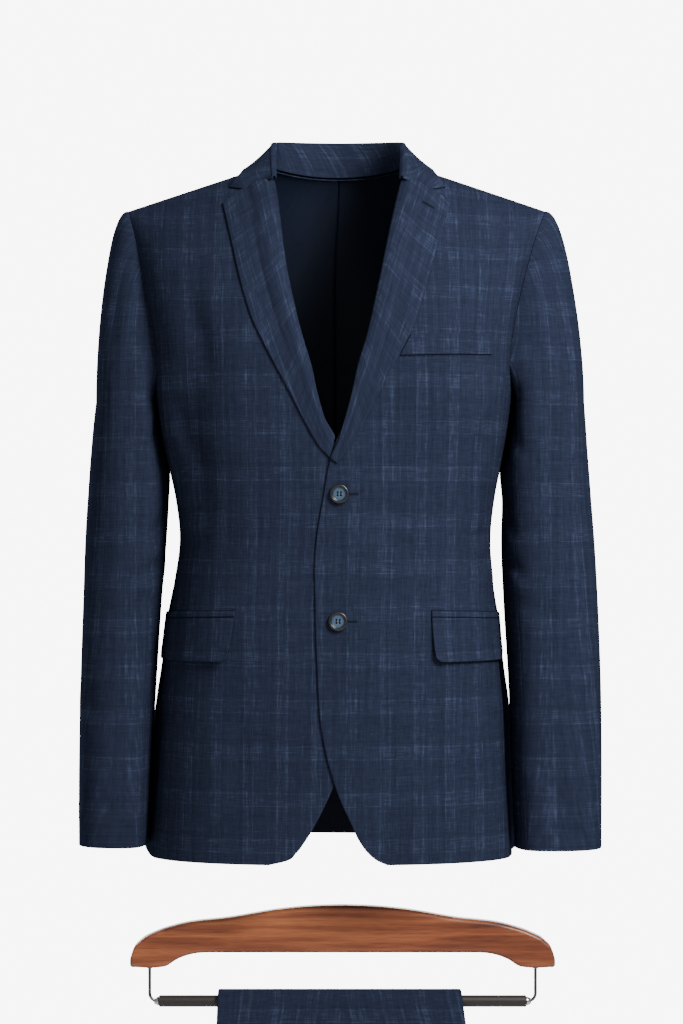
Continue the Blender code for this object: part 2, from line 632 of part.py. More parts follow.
def sleeve_ring(side, angle, z):
    """A point of the level sleeve sections. The angle is 0 on the outer side and grows to the front."""
    inner_l, outer_l, inner_r, outer_r = sleeve_sides(z)
    inner, outer = (inner_l, outer_l) if side > 0 else (inner_r, outer_r)
    middle_y, half_depth = sleeve_depth(z)
    cosine, sine = math.cos(angle), math.sin(angle)
    power = 2 / SLEEVE_SQUARENESS
    x = (inner + outer) / 2 + (outer - inner) / 2 * math.copysign(abs(cosine) ** power, cosine)
    y = middle_y - half_depth * math.copysign(abs(sine) ** power, sine)
    return np.array([side * x, y, z])


def sleeve(side, angle, v):
    """v from 0 at the armhole to 1 where the sections become level, and on to the cuff at 2."""
    if v > 1:
        z = mix(CAP_FOOT_Z, CUFF_Z[side], v - 1)
        return sleeve_ring(side, angle, z)
    low = 0.5 - 0.5 * math.cos(angle)
    start = armscye(side, angle / (2 * math.pi)) + np.array([side * (0.0008 + 0.0020 * low), 0, 0])
    end = sleeve_ring(side, angle, CAP_FOOT_Z)
    reach = np.linalg.norm(end - start)
    leave = unit(np.array([side * (1.0 - 0.82 * low), -0.25 * math.sin(angle), 0.16 - 1.1 * low]))
    leave = leave * min(0.072, 0.9 * reach)
    arrive = np.array([0, 0, -0.95 * reach])
    return ((1 + 2 * v) * (1 - v) ** 2 * start + v * (1 - v) ** 2 * leave
            + v * v * (3 - 2 * v) * end + v * v * (v - 1) * arrive)


def sleeve_normal(side, angle, v):
    step = 1e-3
    inside_v = min(max(v, step), 2 - step)
    if abs(inside_v - 1) < 2 * step:
        inside_v = 1 + 2 * step
    away = normal_of(lambda a, b: sleeve(side, a, b), angle, inside_v, step, step)
    middle = sum(sleeve(side, a, inside_v) for a in np.arange(0, 6.2, 0.785)) / 8
    return away if np.dot(away, sleeve(side, angle, v) - middle) > 0 else -away


def sleeve_rows(side):
    """The sleeve's rows as v."""
    cap = [(i / CAP_ROWS) for i in range(CAP_ROWS + 1)]
    rest = [1 + (z - CAP_FOOT_Z) / (CUFF_Z[side] - CAP_FOOT_Z) for z in SLEEVE_HEIGHTS]
    return cap + rest + [2.0]


def sleeve_piece(side, name, columns, start_angle, end_angle):
    rows = []
    for v in sleeve_rows(side):
        z = sleeve(side, 0.0, v)[2]
        first = start_angle(z) + SEAM / 2 / SLEEVE_RADIUS
        last = end_angle(z) - SEAM / 2 / SLEEVE_RADIUS
        rows.append([(sleeve(side, a, v), sleeve_normal(side, a, v))
                     for a in (mix(first, last, j / columns) for j in range(columns + 1))])
    return wall(f"{name}_{SIDE_NAMES[side]}", rows, cloth, JACKET_WALL)


def sleeves(side):
    """Top sleeve, outside and in front, and under sleeve, inside and behind."""
    sleeve_piece(side, "top_sleeve", TOP_SLEEVE_COLUMNS,
                 lambda z: back_seam_angle(z)[0], lambda z: FRONT_SEAM_ANGLE)
    sleeve_piece(side, "under_sleeve", UNDER_SLEEVE_COLUMNS,
                 lambda z: FRONT_SEAM_ANGLE, lambda z: back_seam_angle(z)[0] + 2 * math.pi)


# ---------------------------------------------------------------- pockets

def breast_welt():
    """Breast welt: from beside the lapel's edge towards the armhole, a little higher there."""
    rows = []
    for t in (0.0, 0.5, 1.0):
        row = []
        for s in (0.0, 0.02, 0.15, 0.29, 0.43, 0.57, 0.71, 0.85, 0.98, 1.0):
            low = WELT["top"] - WELT["height"] * t
            start = lapel_edge(low)[0] + WELT["clear"]
            x = mix(start, WELT["end"], s)
            row.append(front_at(1, x + lean(low), low + WELT["rise"] * s))
        rows.append(row)
    return wall("breast_welt", rows, cloth, JACKET_WALL, outset=STAND_OFF + JACKET_WALL)


def pocket_angle(side, z, s):
    """The angle at part s of the pocket's length, from its front end."""
    first = ring_angle(side, side * POCKET_X + lean(z), z)
    angles = np.arange(first, math.pi, 0.01)
    points = [ring(side, a, z) for a in angles]
    run = np.concatenate([[0], np.cumsum([np.linalg.norm(b - a) for a, b in zip(points, points[1:])])])
    return float(np.interp(s * POCKET_LENGTH, run, angles))


def pocket(side):
    """Flap pocket: the jet along the cut, and the flap that hangs from under it."""
    stops = [0.0, 0.018, 0.055] + [0.055 + 0.89 * i / 10 for i in range(1, 11)] + [0.982, 1.0]
    for name, top, height, corner in (("pocket_jet", JET_TOP_Z, JET_HEIGHT, 0.0),
                                      ("pocket_flap", JET_TOP_Z - JET_HEIGHT - SEAM, FLAP_HEIGHT,
                                       FLAP_CORNER)):
        rows = []
        for t in (0.0, 0.5, 1.0):
            row = []
            for s in stops:
                z = top - POCKET_TILT * s
                end = min(s, 1 - s) * POCKET_LENGTH
                cut = corner - math.sqrt(max(corner ** 2 - max(corner - end, 0) ** 2, 0))
                z -= t * (height - cut)
                angle = pocket_angle(side, z, s)
                row.append((ring(side, angle, z), ring_normal(side, angle, z)))
            rows.append(row)
        wall(f"{name}_{SIDE_NAMES[side]}", rows, cloth, JACKET_WALL, outset=STAND_OFF + JACKET_WALL)


# ---------------------------------------------------------------- buttons

def button(name, size, place, away, steps):
    """A button with a raised rim and a dished middle, turned about the cloth's normal."""
    radius, thick = size[0] / 2, size[1]
    profile = [(0.0, 0.62 * thick), (0.62 * radius, 0.62 * thick), (0.72 * radius, thick),
               (0.9 * radius, thick), (radius, 0.6 * thick), (0.86 * radius, 0.0), (0.0, 0.0)]
    turned(name, profile, horn, steps, place + away * LAYER, away)


def buttons():
    for i, (x, z) in enumerate(FRONT_BUTTON_PLACES):
        place, away = front_at(1, x, z)
        button(f"front_button_{i + 1}", FRONT_BUTTON, place, away, 20)
    for side, name in SIDE_NAMES.items():
        for i in range(CUFF_BUTTONS):
            z = CUFF_Z[side] + CUFF_BUTTON_RISE + i * CUFF_BUTTON_PITCH
            angle = back_seam_angle(z)[0] + CUFF_BUTTON_INSET / SLEEVE_RADIUS
            v = 1 + (z - CAP_FOOT_Z) / (CUFF_Z[side] - CAP_FOOT_Z)
            away = sleeve_normal(side, angle, v)
            place = sleeve(side, angle, v)
            button(f"cuff_button_{name}_{i + 1}", CUFF_BUTTON, place, away, 12)


# ---------------------------------------------------------------- hanger

BAR_FOOT_Z = -0.8490
# Along the half bar (1 is its end), height above the bar's foot
BAR_TOP = [(-1.000, 0.0080), (-0.985, 0.0180), (-0.950, 0.0275), (-0.880, 0.0360), (-0.780, 0.0432),
           (-0.520, 0.0510), (-0.310, 0.0586), (-0.130, 0.0623), (0.000, 0.0632)]
BAR_BOTTOM = [(-0.993, 0.0030), (-0.970, 0.0000), (-0.850, 0.0000), (-0.780, 0.0050), (-0.700, 0.0125),
              (-0.630, 0.0150), (0.000, 0.0150)]
BAR_EDGE = 0.0030            # rounding of its edges
ELBOW_RADIUS = 0.0080


def flat_outline(name, outline, place, thick, edge, slot):
    """A flat board standing in the XZ plane, with rounded edges."""
    curve = bpy.data.curves.new(name, "CURVE")
    curve.dimensions = "2D"
    curve.fill_mode = "BOTH"
    line = curve.splines.new("POLY")
    line.points.add(len(outline) - 1)
    for point, (x, z) in zip(line.points, outline):
        point.co = (x, z, 0, 1)
    line.use_cyclic_u = True
    curve.extrude = thick / 2 - edge
    curve.bevel_depth = edge
    curve.bevel_resolution = 1
    curve.offset = -edge
    curve.materials.append(slot)
    made = bpy.data.objects.new(name, curve)
    suit.objects.link(made)
    made.location = place
    made.rotation_euler = (math.pi / 2, 0, 0)
    return made


def hanger():
    """Hanger: an arched wooden bar, two bent wires in its ends, and the rod that they carry."""
    top = track(BAR_TOP)
    along = [-math.cos(math.pi / 2 * i / 12) for i in range(13)]
    half = [(x * BAR_HALF, float(top(x)[0])) for x in along]
    outline = half + [(-x, h) for x, h in half[-2::-1]]
    foot = [(x * BAR_HALF, h) for x, h in BAR_BOTTOM]
    outline += [(-x, h) for x, h in foot[:-1]] + foot[-2::-1]
    flat_outline("hanger_bar", outline, (HANGER_X, BAR_Y, BAR_FOOT_Z), BAR_THICK, BAR_EDGE, wood)
    for side, name in ((1, "left"), (-1, "right")):
        points = [(WIRE_X, BAR_FOOT_Z - SEAM), (WIRE_X, ROD_Z + ELBOW_RADIUS)]
        points += [(WIRE_X - ELBOW_RADIUS * (1 - math.cos(a)), ROD_Z + ELBOW_RADIUS * (1 - math.sin(a)))
                   for a in (math.pi / 2 * i / 4 for i in range(1, 5))]
        points += [(ROD_HALF + SEAM, ROD_Z)]
        tube(f"hanger_wire_{name}", [(HANGER_X + side * x, BAR_Y, z) for x, z in points],
             WIRE_RADIUS, chrome)
    tube("hanger_rod", [(HANGER_X + s * ROD_HALF, BAR_Y, ROD_Z) for s in (-1, 1)],
         ROD_RADIUS, rubber, resolution=4)


# ---------------------------------------------------------------- trousers

ROD_TURNS = [math.radians(a) for a in (-90, -60, -30, 0, 30, 60, 90)]
BACK_DROPS = [0.598, 0.450, 0.300, 0.150, 0.060, 0.018]
FRONT_DROPS = [0.018, 0.060, 0.110, 0.155, 0.185, 0.205, 0.235, 0.280, 0.345, 0.415]
LEG_LAYERS = 2 * TROUSER_WALL + LAYER        # one leg pressed flat
CLOTH_ARC = (math.pi / 2) * (ROD_RADIUS + LEG_LAYERS)


def over_rod(station, depth):
    """y and z of the cloth this far out from the rod's surface. A station is an angle over the rod,
    or a drop along the cloth to the front (positive) or the back."""
    kind, value = station
    reach = ROD_RADIUS + LAYER + depth
    if kind == "turn":
        return np.array([0, BAR_Y - reach * math.sin(value), ROD_Z + reach * math.cos(value)])
    return np.array([0, BAR_Y - math.copysign(reach, value), ROD_Z - abs(value)])


def outward(station):
    kind, value = station
    if kind == "turn":
        return np.array([0, -math.sin(value), math.cos(value)])
    return np.array([0, -math.copysign(1, value), 0])


def cloth_distance(station):
    kind, value = station
    return value * CLOTH_ARC / (math.pi / 2) if kind == "turn" else value + math.copysign(CLOTH_ARC, value)


def crease_point(station, x, depth, away_x, away_r):
    """A point of a pressed layer, with the direction that its wall is measured along."""
    place = over_rod(station, depth) + np.array([x, 0, 0])
    return place, np.array([away_x, 0, 0]) + outward(station) * away_r


def leg(name, base, shift):
    """One leg pressed flat on its creases: a front panel round the front crease and a back panel
    round the back one, each a folded wall of two layers."""
    stations = [("drop", -d) for d in BACK_DROPS] + [("turn", a) for a in ROD_TURNS]
    stations += [("drop", d) for d in FRONT_DROPS]
    for panel, column, away in (("front", 0, -1), ("back", 1, 1)):
        rows = []
        for station in stations:
            edges = trouser_widths(cloth_distance(station))
            edge = TROUSERS_X + edges[column] + away * shift
            middle = TROUSERS_X + (edges[0] + edges[1]) / 2 + away * SEAM / 2
            low, high = base, base + LEG_LAYERS
            near = mix(middle, edge, 0.5)
            rows.append([crease_point(station, middle, low, 0, -1), crease_point(station, near, low, 0, -1),
                         crease_point(station, edge, low, away, -1),
                         crease_point(station, edge, high, away, 1),
                         crease_point(station, near, high, 0, 1), crease_point(station, middle, high, 0, 1)])
        wall(f"trouser_{panel}_{name}", rows, cloth, TROUSER_WALL)
    rows = []
    for drop in (FRONT_DROPS[-1] + SEAM, FRONT_DROPS[-1] + WAISTBAND / 2, FRONT_DROPS[-1] + WAISTBAND):
        station = ("drop", drop)
        left, right = trouser_widths(TROUSER_WIDTHS[-1][0])
        left, right = TROUSERS_X + left - shift - 0.0008, TROUSERS_X + right + shift + 0.0008
        middle, low, high = (left + right) / 2, base, base + LEG_LAYERS
        if name == "right":
            low, high = high, low
        sign = 1 if high > low else -1
        rows.append([crease_point(station, middle - SEAM, low, 0, -sign),
                     crease_point(station, left, low, -1, -sign),
                     crease_point(station, left, high, -1, sign),
                     crease_point(station, middle, high, 0, sign),
                     crease_point(station, right, high, 1, sign),
                     crease_point(station, right, low, 1, -sign),
                     crease_point(station, middle + SEAM, low, 0, -sign)])
    wall(f"waistband_{name}", rows, cloth, TROUSER_WALL)


def belt_loops():
    depth = 2 * LEG_LAYERS + 2 * LAYER
    for i, x in enumerate(LOOP_PLACES):
        rows = []
        for drop in (-LOOP_OVER, WAISTBAND / 2, WAISTBAND - LOOP_SHORT):
            station = ("drop", FRONT_DROPS[-1] + drop)
            rows.append([crease_point(station, TROUSERS_X + x + s * LOOP_WIDTH / 2,
                                      depth + TROUSER_WALL, 0, 1) for s in (-1, 0, 1)])
        wall(f"belt_loop_{i + 1}", rows, cloth, TROUSER_WALL)


def trousers():
    """The right leg lies on the rod and the left leg on it."""
    leg("right", 0.0, 0.0)
    leg("left", LEG_LAYERS + LAYER, 0.0012)
    belt_loops()


# ---------------------------------------------------------------- the suit

for old in list(bpy.data.objects):
    bpy.data.objects.remove(old, do_unlink=True)
suit = bpy.data.collections.new("two_piece_suit")
bpy.context.scene.collection.children.link(suit)
cloth = material("navy_check_wool", (0.026, 0.037, 0.070), 0.85)
horn = material("blue_button", (0.055, 0.095, 0.16), 0.3)
wood = material("varnished_wood", (0.27, 0.075, 0.028), 0.35)
chrome = material("bright_wire", (0.6, 0.6, 0.6), 0.25, 1.0)
rubber = material("dark_rod_sleeve", (0.02, 0.018, 0.017), 0.5)

for each_side in (1, -1):
    front_panel(each_side)
    side_panel(each_side)
    back_panel(each_side)
    lapel(each_side)
    sleeves(each_side)
    pocket(each_side)
collar()
breast_welt()
buttons()
hanger()
trousers()
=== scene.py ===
"""The looks of the two-piece suit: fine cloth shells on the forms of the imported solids, with their
creases and sewing, the buttons, the hanger, the floor, the light and the camera.
Metres, +Z up, the front faces -Y and the wearer's left is +X."""
import math

import bmesh
import bpy
import numpy as np
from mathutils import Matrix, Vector


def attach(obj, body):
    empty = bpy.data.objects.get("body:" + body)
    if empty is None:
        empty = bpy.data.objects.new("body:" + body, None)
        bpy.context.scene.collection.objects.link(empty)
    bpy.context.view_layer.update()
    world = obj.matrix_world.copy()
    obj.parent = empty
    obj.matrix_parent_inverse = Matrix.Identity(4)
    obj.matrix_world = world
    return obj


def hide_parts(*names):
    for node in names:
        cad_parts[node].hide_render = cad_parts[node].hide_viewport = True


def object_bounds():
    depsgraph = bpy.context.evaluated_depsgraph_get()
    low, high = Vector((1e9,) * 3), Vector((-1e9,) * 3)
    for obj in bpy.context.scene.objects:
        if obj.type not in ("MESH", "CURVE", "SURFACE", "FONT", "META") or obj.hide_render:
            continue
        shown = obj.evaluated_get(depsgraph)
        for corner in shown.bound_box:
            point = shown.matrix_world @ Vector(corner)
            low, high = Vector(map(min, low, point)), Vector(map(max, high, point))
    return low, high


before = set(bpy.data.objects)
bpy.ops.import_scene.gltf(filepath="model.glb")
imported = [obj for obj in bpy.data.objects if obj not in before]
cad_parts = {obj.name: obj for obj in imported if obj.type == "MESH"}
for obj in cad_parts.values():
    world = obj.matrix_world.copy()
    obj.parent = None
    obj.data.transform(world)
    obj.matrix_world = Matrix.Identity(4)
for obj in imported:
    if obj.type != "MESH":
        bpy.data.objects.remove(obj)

cad_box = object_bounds()

# ---------------------------------------------------------------- sizes
# They are those of the frame's source, with small changes where the cloth bends: the skirt's sides,
# the sleeves' inner edges, the collar's leaf and the bar's underside

JACKET_WALL = 0.0018
TROUSER_WALL = 0.0012
LAYER = 0.0004           # clear gap between flat layers
STAND_OFF = 0.0007       # clear gap between a piece and the curved panel that it lies on
GORGE_GAP = 0.0004       # between the lapel's and the collar's ends, measured in height

YOKE_Z = -0.235          # where the armholes' front and back edges start
ARMHOLE_DIP = 0.027      # how far the armhole's bottom lies below that
CROSSING_Z = -0.3138     # where the two roll lines cross
HEM_FRONT_Z = -0.737
HEM_SIDE_BACK_Z = -0.7315
HEM_BACK_Z = -0.729
NECK_POINT = (0.0780, 0.004, -0.0245)
SHOULDER_TIP = (0.2167, 0.004, -0.0708)
YOKE_SQUARENESS = 1.7
NAPE_DEPTH, NAPE_DROP = 0.071, 0.0055        # how far the neck's edge runs back and down at the nape

# Height, half width, front depth, back depth, squareness, sideways lean
TORSO = [
    (-0.7500, 0.1918, 0.1305, 0.1200, 2.5, -0.0073),
    (-0.7350, 0.1914, 0.1305, 0.1200, 2.5, -0.0072),
    (-0.6500, 0.1860, 0.1305, 0.1210, 2.5, -0.0065),
    (-0.5800, 0.1804, 0.1300, 0.1210, 2.5, -0.0060),
    (-0.5380, 0.1752, 0.1290, 0.1185, 2.5, -0.0057),
    (-0.4960, 0.1716, 0.1280, 0.1145, 2.5, -0.0055),
    (-0.4550, 0.1654, 0.1260, 0.1085, 2.5, -0.0047),
    (-0.4130, 0.1612, 0.1245, 0.1035, 2.5, -0.0036),
    (-0.3710, 0.1649, 0.1245, 0.1025, 2.55, -0.0033),
    (-0.3300, 0.1730, 0.1260, 0.1055, 2.6, -0.0035),
    (-0.2900, 0.1805, 0.1280, 0.1095, 2.7, -0.0038),
    (-0.2600, 0.1842, 0.1290, 0.1120, 2.8, -0.0040),
    (-0.2350, 0.1853, 0.1290, 0.1130, 2.8, -0.0040),
    (-0.1200, 0.1853, 0.1290, 0.1130, 2.8, -0.0040),
    (-0.0500, 0.1853, 0.1290, 0.1130, 2.8, -0.0010),
    (0.0200, 0.1853, 0.1290, 0.1130, 2.8, 0.0),
]
# Height, angle of the front side seam, angle of the back one
LONG_SEAMS = [(-0.750, 1.200, 2.020), (-0.410, 1.215, 2.060), (-0.235, 1.264, 1.974)]
# Height, distance from the middle
ROLL_LINE = [
    (-0.3138, 0.0007), (-0.2778, 0.0125), (-0.2300, 0.0245), (-0.2120, 0.0305), (-0.1710, 0.0406),
    (-0.1506, 0.0452), (-0.1190, 0.0510), (-0.0860, 0.0567), (-0.0520, 0.0640), (-0.0245, 0.0780),
]
LAPEL_EDGE = [
    (-0.3345, 0.0020), (-0.3308, 0.0058), (-0.3008, 0.0255), (-0.2638, 0.0445), (-0.2318, 0.0615),
    (-0.1950, 0.0800), (-0.1496, 0.0942), (-0.1120, 0.1038), (-0.0686, 0.1165),
]
NOTCH = (0.0973, -0.0527)            # distance from the middle, height
GORGE_START = (0.0652, -0.0429)
COLLAR_POINT = (0.1113, -0.0501)
ARMHOLE_FRONT = [
    (-0.2350, 0.1790), (-0.2145, 0.1805), (-0.1700, 0.1888), (-0.1366, 0.1972), (-0.0960, 0.2080),
    (-0.0708, 0.2167),
]
ARMHOLE_BACK = [
    (-0.2350, 0.1745), (-0.2145, 0.1760), (-0.1700, 0.1820), (-0.1366, 0.1905), (-0.0960, 0.2050),
    (-0.0708, 0.2167),
]
# Height, x of the front edge on top (wearer's left), x of the one below
FRONT_EDGES = [
    (-0.7370, 0.0490, -0.0700), (-0.7330, 0.0400, -0.0530), (-0.7250, 0.0300, -0.0425),
    (-0.7140, 0.0215, -0.0340), (-0.6948, 0.0125, -0.0225), (-0.6698, 0.0010, -0.0100),
    (-0.6444, -0.0075, 0.0000), (-0.6013, -0.0169, 0.0110), (-0.5400, -0.0212, 0.0165),
    (-0.4718, -0.0232, 0.0190), (-0.4338, -0.0236, 0.0195), (-0.4028, -0.0208, 0.0185),
    (-0.3700, -0.0152, 0.0165), (-0.3320, -0.0085, 0.0050), (-0.3138, -0.0028, -0.0042),
]
OVERLAP_FROM, OVERLAP_FULL = 0.047, 0.027    # x where the upper front starts to rise, and is risen
OVERLAP_TOP_Z, OVERLAP_EASE = -0.285, 0.035  # the height below which it rises, and over how much
VENT_TOP_Z = -0.515
VENT_FROM, VENT_SUNK, VENT_END = 0.0140, 0.0035, -0.0340   # distances from the middle of the back

# Height, inner and outer x of the wearer's left, then of the right sleeve
SLEEVE_SIDES = [
    (-0.7600, 0.1820, 0.2700, 0.1976, 0.2664), (-0.7280, 0.1812, 0.2702, 0.1966, 0.2667),
    (-0.6500, 0.1783, 0.2712, 0.1930, 0.2675), (-0.5600, 0.1757, 0.2712, 0.1885, 0.2668),
    (-0.4750, 0.1711, 0.2688, 0.1836, 0.2647), (-0.4130, 0.1690, 0.2657, 0.1789, 0.2630),
    (-0.3713, 0.1700, 0.2626, 0.1766, 0.2608), (-0.3430, 0.1685, 0.2606, 0.1758, 0.2590),
    (-0.3200, 0.1737, 0.2588, 0.1814, 0.2572), (-0.2900, 0.1778, 0.2568, 0.1862, 0.2545),
    (-0.2700, 0.1803, 0.2553, 0.1885, 0.2522),
]
# Height, middle y, half depth
SLEEVE_DEPTH = [
    (-0.7600, -0.0400, 0.0455), (-0.7280, -0.0370, 0.0465), (-0.6500, -0.0280, 0.0500),
    (-0.5600, -0.0160, 0.0545), (-0.4750, -0.0060, 0.0585), (-0.3713, 0.0020, 0.0630),
    (-0.2700, 0.0040, 0.0665),
]
SLEEVE_SQUARENESS = 2.15
SLEEVE_LEAN = 0.014          # how far the sleeve's front leans towards the body
CAP_FOOT_Z = -0.270
CUFF_Z = {1: -0.7280, -1: -0.7250}   # by side: 1 is the wearer's left
FRONT_SEAM_ANGLE = math.radians(128)
BACK_SEAM_ANGLE = [(-0.760, math.radians(-38)), (-0.270, math.radians(-72)), (0.0, math.radians(-78))]

WELT = dict(clear=0.0015, end=0.1605, top=-0.2062, rise=0.0030, height=0.0208, outset=0.0022)
POCKET_X, POCKET_LENGTH, POCKET_TILT = 0.0985, 0.152, 0.0050
JET_TOP_Z, JET_HEIGHT = -0.4830, 0.0062
FLAP_HEIGHT, FLAP_CORNER = 0.0455, 0.0090

FRONT_BUTTON, CUFF_BUTTON = (0.0198, 0.0034), (0.0148, 0.0028)      # diameter, thickness
FRONT_BUTTON_PLACES = [(0.0008, -0.3656), (-0.0005, -0.4932)]
CUFF_BUTTON_RISE, CUFF_BUTTON_PITCH, CUFF_BUTTONS = 0.0250, 0.0156, 4
SLEEVE_RADIUS = 0.050    # about, to turn a width into an angle
CUFF_BUTTON_INSET = 0.0150           # from the sleeve's back seam

HANGER_X, BAR_Y, BAR_THICK = 0.0041, -0.0500, 0.0220
BAR_HALF, BAR_FOOT_Z = 0.2175, -0.8490
# Along the half bar (1 is its end), height above the bar's foot
BAR_TOP = [(-1.000, 0.0080), (-0.985, 0.0180), (-0.950, 0.0275), (-0.880, 0.0360), (-0.780, 0.0432),
           (-0.520, 0.0510), (-0.310, 0.0586), (-0.130, 0.0623), (0.000, 0.0632)]
BAR_BOTTOM = [(-1.000, 0.0014), (-0.993, 0.0004), (-0.970, 0.0000), (-0.855, 0.0000), (-0.830, 0.0010),
              (-0.780, 0.0078), (-0.713, 0.0131), (-0.640, 0.0150), (-0.600, 0.0150), (0.000, 0.0150)]
WIRE_X, WIRE_RADIUS, ELBOW_RADIUS = 0.1975, 0.0016, 0.0080
ROD_Z, ROD_RADIUS, ROD_HALF = -0.8845, 0.0060, 0.1884

# Distance along the trousers from the rod's top (positive up to the waist, which hangs in front),
# x of the front crease, x of the back crease
TROUSERS_X = 0.0010
TROUSER_WIDTHS = [
    (-0.598, -0.0860, 0.0900), (-0.450, -0.0930, 0.0950), (-0.300, -0.1000, 0.1010),
    (-0.150, -0.1110, 0.1110), (0.000, -0.1230, 0.1230), (0.100, -0.1260, 0.1390),
    (0.180, -0.1275, 0.1560), (0.235, -0.1265, 0.1545), (0.300, -0.1240, 0.1440),
    (0.360, -0.1205, 0.1310), (0.415, -0.1165, 0.1185),
]
BACK_DROP, FRONT_DROP, WAISTBAND = 0.598, 0.415, 0.0380
LEG_LAYERS = 2 * TROUSER_WALL + LAYER        # one leg pressed flat
CLOTH_ARC = (math.pi / 2) * (ROD_RADIUS + LEG_LAYERS)
BELT_LOOPS = (-0.062, 0.058)

SIDE_NAMES = {1: "left", -1: "right"}        # the wearer's


# ---------------------------------------------------------------- small tools

def track(rows):
    """A smooth function of the rows' first column, which gives the other columns one by one."""
    rows = np.array(sorted(rows), float)
    at, values = rows[:, 0], rows[:, 1:]
    steps = np.diff(at)[:, None]
    chords = np.diff(values, axis=0) / steps
    inner = (chords[:-1] * steps[1:] + chords[1:] * steps[:-1]) / (steps[:-1] + steps[1:])
    slopes = np.vstack([chords[:1], inner, chords[-1:]])

    def value(where):
        where = np.clip(np.asarray(where, float), at[0], at[-1])
        i = np.clip(np.searchsorted(at, where) - 1, 0, len(steps) - 1)
        h = steps[i]
        s = ((where - at[i])[..., None]) / h
        found = ((1 + 2 * s) * (1 - s) ** 2 * values[i] + s * (1 - s) ** 2 * h * slopes[i]
                 + s * s * (3 - 2 * s) * values[i + 1] + s * s * (s - 1) * h * slopes[i + 1])
        return np.moveaxis(found, -1, 0)

    return value


def mix(a, b, t):
    return a + (b - a) * t


def ease(t):
    t = np.clip(t, 0.0, 1.0)
    return t * t * (3 - 2 * t)


def power(base, exponent):
    return np.sign(base) * np.abs(base) ** exponent


def unit(v):
    return v / np.linalg.norm(v, axis=-1, keepdims=True)


def point(x, y, z):
    return np.stack(np.broadcast_arrays(x, y, z), -1).astype(float)


def dot(a, b):
    return np.sum(a * b, axis=-1)


torso = track(TORSO)
long_seams = track(LONG_SEAMS)
roll_line = track(ROLL_LINE)
lapel_edge = track(LAPEL_EDGE)
armhole_front = track(ARMHOLE_FRONT)
armhole_back = track(ARMHOLE_BACK)
front_edges = track(FRONT_EDGES)
sleeve_sides = track(SLEEVE_SIDES)
sleeve_depth = track(SLEEVE_DEPTH)
back_seam_angle = track(BACK_SEAM_ANGLE)
trouser_widths = track(TROUSER_WIDTHS)


def normal_of(surface, u, v, du=1e-4, dv=1e-4, *, inside):
    """The unit normal of surface(u, v), pointing away from a point inside."""
    along = surface(u + du, v) - surface(u - du, v)
    across = surface(u, v + dv) - surface(u, v - dv)
    away = unit(np.cross(along, across))
    return away * np.where(dot(away, surface(u, v) - inside) > 0, 1.0, -1.0)[..., None]


def lengths(grid, axis):
    """How far each point of the grid is from its row's (axis 1) or column's (axis 0) first point."""
    steps = np.linalg.norm(np.diff(grid, axis=axis), axis=2)
    start = np.zeros_like(np.take(steps, [0], axis=axis))
    return np.concatenate([start, np.cumsum(steps, axis=axis)], axis=axis)


EDGE_STEPS = np.array([0.0004, 0.0013])      # extra rows and columns this near to every edge


def spread(count, size):
    """Places from 0 to 1 along a size in metres, with extra ones near both ends."""
    near = EDGE_STEPS / size
    return np.unique(np.round(np.concatenate([np.linspace(0, 1, count + 1), near, 1 - near]), 7))


# ---------------------------------------------------------------- the jacket's surfaces

def lean(z):
    return torso(z)[4]


def lift(side, x, z):
    """How far the panel on top stands off at the front overlap."""
    if side < 0:
        return 0.0 * (x + z)
    across = ease((OVERLAP_FROM - x) / (OVERLAP_FROM - OVERLAP_FULL))
    return (JACKET_WALL + 2 * LAYER) * across * ease((OVERLAP_TOP_Z - z) / OVERLAP_EASE)


def ring(side, angle, z):
    """A point of the torso below the armholes. The angle runs from the centre front to the back."""
    half, front, back, square, shift = torso(z)
    sine, cosine = np.sin(angle), np.cos(angle)
    x = half * power(sine, 2 / square)
    y = -np.where(cosine > 0, front, back) * power(cosine, 2 / square)
    return point(side * x + shift, y, z)


def ring_normal(side, angle, z):
    inside = point(lean(z) + 0 * angle, 0, z)
    return normal_of(lambda a, h: ring(side, a, h), angle, z, inside=inside)


def ring_angle(side, x, z, back=False):
    """The angle at which the ring at this height passes x."""
    half, _, _, square, shift = torso(z)
    across = np.clip(side * (x - shift) / half, -1.0, 1.0)
    angle = np.arcsin(power(across, square / 2))
    return math.pi - angle if back else angle


